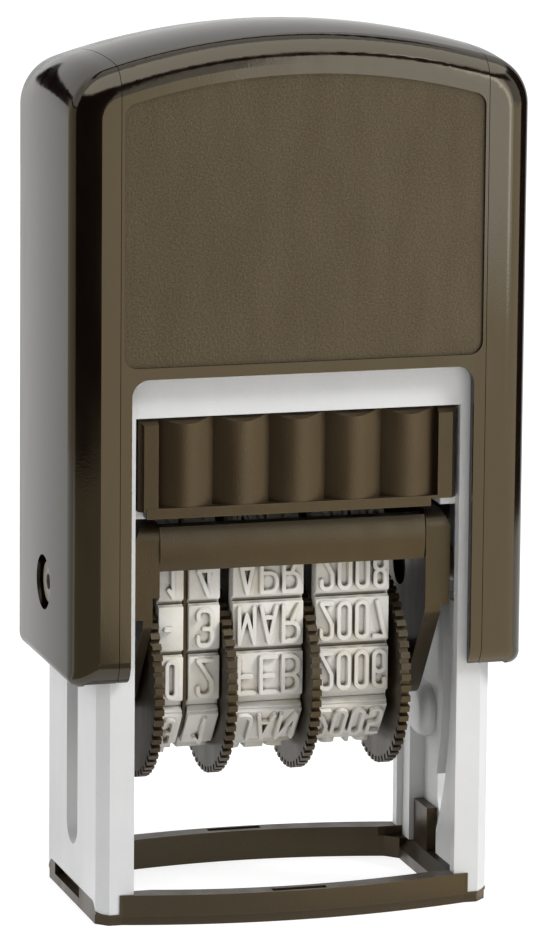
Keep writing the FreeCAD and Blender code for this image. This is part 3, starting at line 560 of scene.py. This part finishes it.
# Belt path: tangents and arcs round the circles, from the top centre over the front and down
def belt_circles():
    circles = [(-nose_reach, nose_height, nose_radius), (-shoulder_reach, shoulder_height, shoulder_radius),
               (0, drum_height, drum_radius)]
    back = [(-across, height, radius) for across, height, radius in circles[:2]]
    return circles + back[::-1]


def tangent_turn(start, end):
    reach = Vector((end[0] - start[0], end[1] - start[1]))
    return math.atan2(reach.y, reach.x) - math.acos((start[2] - end[2]) / reach.length)


def belt_pieces():
    circles = belt_circles()
    turns = [tangent_turn(circles[i - 1], circle) for i, circle in enumerate(circles)]
    pieces = []
    for i, circle in enumerate(circles):
        turn_in = turns[i]
        turn_out = turns[(i + 1) % len(circles)]
        while turn_out < turn_in:
            turn_out += math.tau
        pieces.append((circle, turn_in, turn_out))
    return pieces


def on_circle(circle, turn):
    return Vector((circle[0] + circle[2] * math.cos(turn), circle[1] + circle[2] * math.sin(turn)))


def belt_loop():
    points = [Vector((0, nose_height + nose_radius))]
    for circle, turn_in, turn_out in belt_pieces():
        steps = max(2, math.ceil((turn_out - turn_in) / math.tau * path_steps_per_turn))
        points += [on_circle(circle, turn_in + (turn_out - turn_in) * i / steps) for i in range(steps + 1)]
    return points


def loop_length(points):
    return sum((points[i] - points[i - 1]).length for i in range(len(points)))


def along_loop(points, distance):
    left = distance
    for i, start in enumerate(points):
        run = points[(i + 1) % len(points)] - start
        if left <= run.length:
            return start + run * (left / run.length), run.normalized()
        left -= run.length
    return points[0], (points[1] - points[0]).normalized()


# One type block: a stepped bar of rubber as wide as its band
def block_profile():
    step = block_step_length / 2
    top = block_length / 2
    ledge = belt_thickness / 2 + block_step_rise
    face = belt_thickness / 2 + block_rise
    return [(-step, 0), (-step, ledge), (-top, ledge), (-top, face),
            (top, face), (top, ledge), (step, ledge), (step, 0)]


def block_object(width):
    mesh = bmesh.new()
    half = width / 2 - block_side_gap
    outline = [mesh.verts.new((-half, -rise, along)) for along, rise in block_profile()]
    side = mesh.faces.new(outline)
    grown = bmesh.ops.extrude_face_region(mesh, geom=[side])
    moved = [item for item in grown["geom"] if isinstance(item, bmesh.types.BMVert)]
    bmesh.ops.translate(mesh, verts=moved, vec=(2 * half, 0, 0))
    bmesh.ops.bevel(mesh, geom=mesh.edges[:], offset=block_edge_radius, segments=block_edge_segments,
                    affect="EDGES", profile=0.5)
    bmesh.ops.recalc_face_normals(mesh, faces=mesh.faces[:])
    return show("type_block", finished_mesh("type_block", mesh))


def finished_mesh(name, mesh):
    data = bpy.data.meshes.new(name)
    mesh.to_mesh(data)
    mesh.free()
    return data


def path_object():
    curve = bpy.data.curves.new("belt_path", "CURVE")
    curve.dimensions = "3D"
    points = belt_loop()
    spline = curve.splines.new("POLY")
    spline.points.add(len(points) - 1)
    for point, place in zip(spline.points, points):
        point.co = (0, place.x, place.y, 1)
    spline.use_cyclic_u = True
    return show("belt_path", curve)


# The belt swept along its path, with the type blocks set along it
def band_tree():
    tree = bpy.data.node_groups.new("band_along_path", "GeometryNodeTree")
    tree.interface.new_socket("Path", in_out="INPUT", socket_type="NodeSocketGeometry")
    for name, kind in (("Band width", "Float"), ("Belt thickness", "Float"), ("Block count", "Int"),
                       ("Block", "Object"), ("Rubber", "Material")):
        tree.interface.new_socket(name, in_out="INPUT", socket_type="NodeSocket" + kind)
    tree.interface.new_socket("Band", in_out="OUTPUT", socket_type="NodeSocketGeometry")
    given = node(tree, "NodeGroupInput").outputs
    section = node(tree, "GeometryNodeCurvePrimitiveQuadrilateral")
    fill(tree, section.inputs["Width"], given["Band width"])
    fill(tree, section.inputs["Height"], given["Belt thickness"])
    belt = node(tree, "GeometryNodeCurveToMesh")
    fill(tree, belt.inputs["Curve"], given["Path"])
    fill(tree, belt.inputs["Profile Curve"], section.outputs["Curve"])
    finish_band_tree(tree, given, belt.outputs["Mesh"], blocks_on_path(tree, given))
    return tree


def blocks_on_path(tree, given):
    places = node(tree, "GeometryNodeCurveToPoints", mode="COUNT")
    fill(tree, places.inputs["Curve"], given["Path"])
    fill(tree, places.inputs["Count"], given["Block count"])
    block = node(tree, "GeometryNodeObjectInfo")
    fill(tree, block.inputs["Object"], given["Block"])
    placed = node(tree, "GeometryNodeInstanceOnPoints")
    fill(tree, placed.inputs["Points"], places.outputs["Points"])
    fill(tree, placed.inputs["Instance"], block.outputs["Geometry"])
    fill(tree, placed.inputs["Rotation"], places.outputs["Rotation"])
    return placed.outputs["Instances"]


def finish_band_tree(tree, given, belt, blocks):
    joined = node(tree, "GeometryNodeJoinGeometry")
    tree.links.new(belt, joined.inputs["Geometry"])
    tree.links.new(blocks, joined.inputs["Geometry"])
    real = node(tree, "GeometryNodeRealizeInstances")
    fill(tree, real.inputs["Geometry"], joined.outputs["Geometry"])
    coated = node(tree, "GeometryNodeSetMaterial")
    fill(tree, coated.inputs["Geometry"], real.outputs["Geometry"])
    fill(tree, coated.inputs["Material"], given["Rubber"])
    tree.links.new(coated.outputs["Geometry"], node(tree, "NodeGroupOutput").inputs["Band"])


def run_tree(carrier, tree, values):
    modifier = carrier.modifiers.new("band", "NODES")
    modifier.node_group = tree
    for socket in tree.interface.items_tree:
        if socket.name in values:
            modifier[socket.identifier] = values[socket.name]
    graph = bpy.context.evaluated_depsgraph_get()
    result = bpy.data.meshes.new_from_object(carrier.evaluated_get(graph), depsgraph=graph)
    carrier.modifiers.remove(modifier)
    return result


# Strokes in a unit box. A point's third number is its corner's radius, as a share of half the width
ROUND = 1.0
BOWL_TOP = ((0, 0.76, 0), (0, 1, ROUND), (1, 1, ROUND))
BOWL_FOOT = ((1, 0, ROUND), (0, 0, ROUND), (0, 0.24, 0))
LOOP = ((0, 0, ROUND), (0, 1, ROUND), (1, 1, ROUND), (1, 0, ROUND))


def tall(x, low=0, high=1):
    return ((x, low, 0), (x, high, 0))


def bar(height, left=0, right=1):
    return ((left, height, 0), (right, height, 0))


# Each character is (closed loops, open strokes)
GLYPHS = {
    "0": ((LOOP,), ()),
    "1": ((), (((0.15, 0.8, 0), (0.6, 1, 0)), tall(0.6))),
    "2": ((), (BOWL_TOP + ((1, 0.6, ROUND), (0, 0, 0)), bar(0))),
    "3": ((), (BOWL_TOP + ((1, 0.53, ROUND), (0.4, 0.53, 0)),
               ((0.4, 0.53, 0), (1, 0.53, ROUND)) + BOWL_FOOT)),
    "4": ((), (((0.7, 1, 0), (0, 0.3, 0)), bar(0.3), tall(0.75, 0, 0.62))),
    "5": ((), (((1, 1, 0), (0.08, 1, 0)), tall(0.08, 0.6), ((0.08, 0.6, 0), (1, 0.6, ROUND)) + BOWL_FOOT)),
    "6": ((((0, 0, ROUND), (0, 0.58, ROUND), (1, 0.58, ROUND), (1, 0, ROUND)),),
          (((0, 0.3, 0), (0, 1, ROUND), (1, 1, ROUND), (1, 0.8, 0)),)),
    "7": ((), (bar(1), ((1, 1, 0), (0.3, 0, 0)))),
    "8": ((((0.05, 0.53, ROUND), (0.05, 1, ROUND), (0.95, 1, ROUND), (0.95, 0.53, ROUND)),
           ((0, 0, ROUND), (0, 0.53, ROUND), (1, 0.53, ROUND), (1, 0, ROUND))), ()),
    "9": ((((0, 0.42, ROUND), (0, 1, ROUND), (1, 1, ROUND), (1, 0.42, ROUND)),),
          (((1, 0.7, 0), (1, 0, ROUND), (0, 0, ROUND), (0, 0.2, 0)),)),
    "-": ((), (bar(0.5, -0.15, 0.5),)),
    "A": ((), (((0, 0, 0), (0.5, 1, 0)), ((0.5, 1, 0), (1, 0, 0)), bar(0.3, 0.17, 0.83))),
    "B": ((), (tall(0), ((0, 1, 0), (0.95, 1, ROUND), (0.95, 0.53, ROUND), (0, 0.53, 0)),
               ((0, 0.53, 0), (1, 0.53, ROUND), (1, 0, ROUND), (0, 0, 0)))),
    "C": ((), (((1, 0.76, 0), (1, 1, ROUND), (0, 1, ROUND), (0, 0, ROUND), (1, 0, ROUND), (1, 0.24, 0)),)),
    "D": ((), (tall(0), ((0, 1, 0), (1, 1, ROUND), (1, 0, ROUND), (0, 0, 0)))),
    "E": ((), (tall(0), bar(1), bar(0.53, 0, 0.85), bar(0))),
    "F": ((), (tall(0), bar(1), bar(0.53, 0, 0.85))),
    "G": ((), (((1, 0.78, 0), (1, 1, ROUND), (0, 1, ROUND), (0, 0, ROUND), (1, 0, ROUND), (1, 0.46, 0)),
               bar(0.46, 0.55))),
    "J": ((), (((1, 1, 0),) + BOWL_FOOT,)),
    "L": ((), (tall(0), bar(0))),
    "M": ((), (tall(0), ((0, 1, 0), (0.5, 0.2, 0)), ((0.5, 0.2, 0), (1, 1, 0)), tall(1))),
    "N": ((), (tall(0), ((0, 1, 0), (1, 0, 0)), tall(1))),
    "O": ((LOOP,), ()),
    "P": ((), (tall(0), ((0, 1, 0), (1, 1, ROUND), (1, 0.46, ROUND), (0, 0.46, 0)))),
    "R": ((), (tall(0), ((0, 1, 0), (1, 1, ROUND), (1, 0.48, ROUND), (0, 0.48, 0)),
               ((0.5, 0.48, 0), (1, 0, 0)))),
    "S": ((), (((1, 0.78, 0), (1, 1, ROUND), (0, 1, ROUND), (0, 0.52, ROUND), (1, 0.52, ROUND))
               + BOWL_FOOT,)),
    "T": ((), (bar(1), tall(0.5))),
    "U": ((), (((0, 1, 0), (0, 0, ROUND), (1, 0, ROUND), (1, 1, 0)),)),
    "V": ((), (((0, 1, 0), (0.5, 0, 0)), ((0.5, 0, 0), (1, 1, 0)))),
    "Y": ((), (((0, 1, 0), (0.5, 0.45, 0)), ((0.5, 0.45, 0), (1, 1, 0)), tall(0.5, 0, 0.45))),
}


def rounded_corner(before, corner, after, radius):
    to_before = (before - corner).normalized()
    to_after = (after - corner).normalized()
    half = to_before.angle(to_after) / 2
    reach = min(radius / math.tan(half), (before - corner).length / 2, (after - corner).length / 2)
    start = corner + to_before * reach
    end = corner + to_after * reach
    centre = corner + (to_before + to_after).normalized() * (reach / math.cos(half))
    return [bent(start - centre, end - centre, i / corner_steps) + centre for i in range(corner_steps + 1)]


def bent(start, end, share):
    return turned(start, math.atan2(start.x * end.y - start.y * end.x, start.dot(end)) * share)


def turned(way, angle):
    return Vector((way.x * math.cos(angle) - way.y * math.sin(angle),
                   way.x * math.sin(angle) + way.y * math.cos(angle)))


def stroke_line(corners, width, height, closed):
    points = [Vector(((x - 0.5) * width, (y - 0.5) * height)) for x, y, radius in corners]
    line = []
    for i, point in enumerate(points):
        ends_here = not closed and i in (0, len(points) - 1)
        radius = corners[i][2] * width / 2
        if ends_here or radius == 0:
            line.append(point)
        else:
            line += rounded_corner(points[i - 1], point, points[(i + 1) % len(points)], radius)
    return without_repeats(line, closed)


def without_repeats(line, closed):
    apart = [(point - line[i - 1]).length > repeat_distance for i, point in enumerate(line)]
    kept = [point for i, point in enumerate(line) if i == 0 or apart[i]]
    if closed and (kept[0] - kept[-1]).length <= repeat_distance:
        kept.pop()
    return kept


def side_ways(line, closed):
    ways = []
    last = len(line) - 1
    for i, point in enumerate(line):
        onward = line[(i + 1) % len(line)] - point if closed or i < last else point - line[i - 1]
        inward = point - line[i - 1] if closed or i > 0 else onward
        along = (inward.normalized() + onward.normalized()).normalized()
        side = Vector((-along.y, along.x))
        square = max(mitre_floor, side.dot(Vector((-inward.y, inward.x)).normalized()))
        ways.append(side / square)
    return ways


def fan(centre, start, reach):
    turns = [-math.pi * (i + 1) / (stroke_end_steps + 1) for i in range(stroke_end_steps)]
    return [centre + turned(start * reach, turn) for turn in turns]


# Both rims of a stroke at one level, with the round ends of an open one
def stroke_rims(line, closed, reach):
    ways = side_ways(line, closed)
    left = [point + way * reach for point, way in zip(line, ways)]
    right = [point - way * reach for point, way in zip(line, ways)]
    if closed:
        return left, right, [], []
    far_end = fan(line[-1], ways[-1].normalized(), reach)
    return left, right, far_end, fan(line[0], -ways[0].normalized(), reach)


def stroke_levels(mesh, line, closed, place, top):
    levels = []
    for reach, rise in ((stroke_width / 2 + stroke_draft, -type_sink), (stroke_width / 2, top)):
        rims = stroke_rims(line, closed, reach)
        levels.append([[mesh.verts.new(place(point, rise)) for point in rim] for rim in rims])
    return levels


def add_stroke(mesh, line, closed, place, top):
    low, high = stroke_levels(mesh, line, closed, place, top)
    count = len(line)
    for i in range(count if closed else count - 1):
        j = (i + 1) % count
        for level in (low, high):
            mesh.faces.new((level[0][i], level[0][j], level[1][j], level[1][i]))
        for rim in (0, 1):
            mesh.faces.new((low[rim][i], low[rim][j], high[rim][j], high[rim][i]))
    if not closed:
        add_round_end(mesh, low, high, 2, -1, (0, 1))
        add_round_end(mesh, low, high, 3, 0, (1, 0))


def add_round_end(mesh, low, high, rim, end, sides):
    arcs = [[level[sides[0]][end]] + level[rim] + [level[sides[1]][end]] for level in (low, high)]
    for arc in arcs:
        mesh.faces.new(arc)
    for i in range(len(arcs[0]) - 1):
        mesh.faces.new((arcs[0][i], arcs[0][i + 1], arcs[1][i + 1], arcs[1][i]))


def add_character(mesh, letter, width, centre, place):
    loops, strokes = GLYPHS[letter]
    inner_width = width - stroke_width
    inner_height = type_height - stroke_width
    drop = 0
    for corners, closed in [(loop, True) for loop in loops] + [(stroke, False) for stroke in strokes]:
        line = stroke_line(corners, inner_width, inner_height, closed)
        shifted = [point + Vector((centre, 0)) for point in line]
        add_stroke(mesh, shifted, closed, place, type_rise - drop)
        drop += stroke_drop


# The type reads upside down from the front, because the belt's travel is its upward way
def face_place(points, distance, band_centre):
    core, along = along_loop(points, distance)
    out = Vector((along.y, -along.x))
    face = core + out * (belt_thickness / 2 + block_rise)

    def place(point, rise):
        spot = face + along * point.y + out * rise
        return band_centre + point.x, spot.x, spot.y
    return place


def add_row(mesh, text, width, space, place):
    pitch = width + space
    for i, letter in enumerate(text):
        centre = (i - (len(text) - 1) / 2) * pitch
        add_character(mesh, letter, width, centre, place)


def band_body(name):
    low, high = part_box(name)
    centre = (low.x + high.x) / 2
    block = block_object(high.x - low.x)
    path = path_object()
    values = {"Band width": high.x - low.x, "Belt thickness": belt_thickness, "Block count": block_count,
              "Block": block, "Rubber": rubber}
    data = run_tree(path, band_form, values)
    for helper in (path, block):
        bpy.data.objects.remove(helper)
    data.transform(Matrix.Translation((centre, 0, 0)))
    return data, centre


def raised_rows(name, rows, width, space, centre):
    letters = bmesh.new()
    points = belt_loop()
    pitch = loop_length(points) / block_count
    for i, text in enumerate(rows):
        add_row(letters, text, width, space, face_place(points, i * pitch, centre))
    bmesh.ops.recalc_face_normals(letters, faces=letters.faces[:])
    return finished_mesh(name, letters)


def band_piece(name, rows, width, space):
    body, centre = band_body(name)
    mesh = bmesh.new()
    mesh.from_mesh(body)
    mesh.from_mesh(raised_rows(name, rows, width, space, centre))
    data = finished_mesh("printed_" + name, mesh)
    data.materials.append(rubber)
    data.shade_smooth()
    data.set_sharp_from_angle(angle=math.radians(rubber_smooth_angle))
    piece = show("printed_" + name, data)
    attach(piece, "date_unit")
    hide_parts(name)


def add_bands():
    steps = [-i if i < block_count / 2 else block_count - i for i in range(block_count)]
    years = [str(first_year + step) for step in steps]
    band_piece("band_tens", tens_rows, tens_width, 0)
    band_piece("band_units", units_rows, units_width, 0)
    band_piece("band_month", month_rows, month_width, month_space)
    band_piece("band_year", years, year_width, year_space)


# Felt pad: a soft block, fullest in the middle of its face, with sides drawn in a little
def felt_pad():
    low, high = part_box("ink_pad")
    middle = (low + high) / 2
    half = (high - low) / 2
    mesh = felt_block(half)
    for vertex in mesh.verts:
        vertex.co = soft_place(vertex.co, half) + middle
    bmesh.ops.recalc_face_normals(mesh, faces=mesh.faces[:])
    data = finished_mesh("inked_felt", mesh)
    data.materials.append(felt)
    data.shade_smooth()
    pad = show("inked_felt", data)
    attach(pad, "pad_cassette")
    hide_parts("ink_pad")


def felt_block(half):
    mesh = bmesh.new()
    bmesh.ops.create_cube(mesh, size=2)
    bmesh.ops.subdivide_edges(mesh, edges=mesh.edges[:], cuts=felt_cuts, use_grid_fill=True)
    for vertex in mesh.verts:
        vertex.co = Vector((vertex.co.x * half.x, vertex.co.y * half.y, vertex.co.z * half.z))
    sharp = [edge for edge in mesh.edges if edge.calc_face_angle(0) > math.radians(felt_sharp_angle)]
    bmesh.ops.bevel(mesh, geom=sharp, offset=felt_edge, segments=felt_edge_segments, affect="EDGES",
                    profile=0.5)
    return mesh


def soft_place(place, half):
    across = place.x / half.x
    deep = place.y / half.y
    rise = place.z / half.z
    fullness = (1 - across ** 2) * (1 - deep ** 2)
    lift = felt_crown * (1 - fullness) * max(0, -rise)
    waist = felt_waist * (1 - rise ** 2)
    return Vector((place.x - across * waist * (1 - deep ** 2), place.y - deep * waist * (1 - across ** 2),
                   place.z + lift))


# Return spring: a round wire wound with closer turns at its ends; the real one shortens as the cap goes
# down, this coil keeps its length
def coil_height(turn, low, high):
    end_rise = spring_wire * spring_end_rise_share
    middle_turns = spring_turns - 2
    middle_rise = (high - low - 2 * end_rise) / middle_turns
    end_share = min(turn, 1) + max(turn - spring_turns + 1, 0)
    middle_share = min(max(turn - 1, 0), middle_turns)
    return low + end_rise * end_share + middle_rise * middle_share


def wound_wire(low, high):
    radius = (high.x - low.x - spring_wire) / 2
    curve = bpy.data.curves.new("spring_wire", "CURVE")
    curve.dimensions = "3D"
    curve.bevel_depth = spring_wire / 2
    curve.bevel_resolution = wire_sides
    curve.use_fill_caps = True
    spline = curve.splines.new("POLY")
    spline.points.add(spring_turns * spring_steps_per_turn)
    for i, point in enumerate(spline.points):
        angle = math.tau * i / spring_steps_per_turn
        height = coil_height(i / spring_steps_per_turn, low.z + spring_wire / 2, high.z - spring_wire / 2)
        point.co = (radius * math.cos(angle), radius * math.sin(angle), height, 1)
    wound = show("spring_wire", curve)
    data = bpy.data.meshes.new_from_object(wound.evaluated_get(bpy.context.evaluated_depsgraph_get()))
    bpy.data.objects.remove(wound)
    return data


def return_coil():
    low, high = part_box("return_spring")
    data = wound_wire(low, high)
    data.materials.clear()
    data.materials.append(bright)
    data.shade_smooth()
    coil = show("return_coil", data)
    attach(coil, "base")
    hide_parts("return_spring")
    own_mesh(coil)


# Studio: pale floor, white surroundings, a key and a fill lamp, and cards that only the gloss sees
def seen_share(tree):
    light = node(tree, "ShaderNodeLightPath").outputs
    seen = math_node(tree, "ADD", light["Is Camera Ray"], light["Is Glossy Ray"])
    return math_node(tree, "MINIMUM", math_node(tree, "ADD", seen, light["Is Transmission Ray"]), 1.0)


def add_world():
    world = bpy.data.worlds.new("studio")
    world.use_nodes = True
    tree = world.node_tree
    tree.nodes.clear()
    lit = node(tree, "ShaderNodeBackground")
    fill(tree, lit.inputs["Color"], (*white, 1))
    fill(tree, lit.inputs["Strength"], room_light)
    seen = node(tree, "ShaderNodeBackground")
    fill(tree, seen.inputs["Color"], (*white, 1))
    choice = node(tree, "ShaderNodeMixShader")
    fill(tree, choice.inputs["Fac"], seen_share(tree))
    tree.links.new(lit.outputs["Background"], choice.inputs[1])
    tree.links.new(seen.outputs["Background"], choice.inputs[2])
    tree.links.new(choice.outputs["Shader"], node(tree, "ShaderNodeOutputWorld").inputs["Surface"])
    bpy.context.scene.world = world


def floor_finish():
    finish = bpy.data.materials.new("floor_white")
    finish.use_nodes = True
    tree = finish.node_tree
    tree.nodes.clear()
    paper = node(tree, "ShaderNodeBsdfDiffuse")
    fill(tree, paper.inputs["Color"], (floor_tone, floor_tone, floor_tone, 1))
    glow = node(tree, "ShaderNodeEmission")
    fill(tree, glow.inputs["Strength"], floor_glow / floor_glow_share)
    choice = node(tree, "ShaderNodeMixShader")
    fill(tree, choice.inputs["Fac"], math_node(tree, "MULTIPLY", seen_share(tree), floor_glow_share))
    tree.links.new(paper.outputs["BSDF"], choice.inputs[1])
    tree.links.new(glow.outputs["Emission"], choice.inputs[2])
    tree.links.new(choice.outputs["Shader"], node(tree, "ShaderNodeOutputMaterial").inputs["Surface"])
    return finish


def add_floor():
    mesh = bmesh.new()
    corners = [(-floor_half, -floor_half, 0), (floor_half, -floor_half, 0), (floor_half, floor_half, 0),
               (-floor_half, floor_half, 0)]
    mesh.faces.new([mesh.verts.new(corner) for corner in corners])
    data = finished_mesh("floor", mesh)
    data.materials.append(floor_finish())
    floor = show("floor", data)
    floor.location = (0, 0, -floor_drop)


def card_finish(name, tone, glow):
    finish, _, shader = new_finish(name)
    for socket, value in (("Base Color", (*black, 1)), ("Roughness", 1.0), ("Specular IOR Level", 0.0),
                          ("Emission Color", (*tone, 1)), ("Emission Strength", glow)):
        shader.inputs[socket].default_value = value
    return finish


# A card curved round the stamp, made of strips between its two edges
def add_card(name, first, last, near, far, low, high, glow):
    mesh = bmesh.new()
    count = math.ceil((last - first) / card_step)
    edges = []
    for i in range(count + 1):
        outward = direction(first + (last - first) * i / count, 0)
        edges.append([mesh.verts.new((outward.x * reach, outward.y * reach, height))
                      for reach, height in ((near, low), (far, high))])
    for start, end in zip(edges, edges[1:]):
        mesh.faces.new((start[0], end[0], end[1], start[1]))
    data = finished_mesh(name, mesh)
    data.materials.append(card_finish(name, warm if name in warm_cards else white, glow))
    card = show(name, data)
    card.visible_camera = False
    card.visible_diffuse = False
    card.visible_shadow = False
    card.visible_transmission = False


def add_lamp(name, azimuth, elevation, distance, size, power):
    lamp = bpy.data.lights.new(name, "AREA")
    lamp.size = size
    lamp.energy = power
    place = camera_target + direction(azimuth, elevation) * distance
    shown = show(name, lamp)
    shown.matrix_world = facing(place, camera_target)
    shown.visible_glossy = False


def add_camera():
    lens = bpy.data.cameras.new("camera")
    lens.sensor_fit = "VERTICAL"
    lens.sensor_height = sensor_height
    lens.lens = focal_px / picture_height_px * sensor_height
    lens.clip_start = camera_distance / 10
    camera = show("camera", lens)
    back = direction(camera_azimuth, camera_elevation)
    right = Vector((0, 0, 1)).cross(back).normalized()
    up = back.cross(right)
    roll = math.radians(camera_roll)
    rolled_right = right * math.cos(roll) + up * math.sin(roll)
    rolled_up = up * math.cos(roll) - right * math.sin(roll)
    turn = Matrix((rolled_right, rolled_up, back)).transposed()
    camera.matrix_world = Matrix.Translation(camera_target + back * camera_distance) @ turn.to_4x4()
    bpy.context.scene.camera = camera


rubber = band_rubber("off_white_rubber")
felt = ink_felt("inked_felt")
bright = steel("drawn_steel")
band_form = band_tree()
dress_nodes()
add_bands()
felt_pad()
return_coil()
add_world()
add_floor()
for card_name, card_values in cards.items():
    add_card(card_name, *card_values)
add_lamp("key", key_azimuth, key_elevation, key_distance, key_size, key_power)
add_lamp("fill", fill_azimuth, fill_elevation, fill_distance, fill_size, fill_power)
add_camera()
bpy.context.scene.view_settings.view_transform = "Standard"
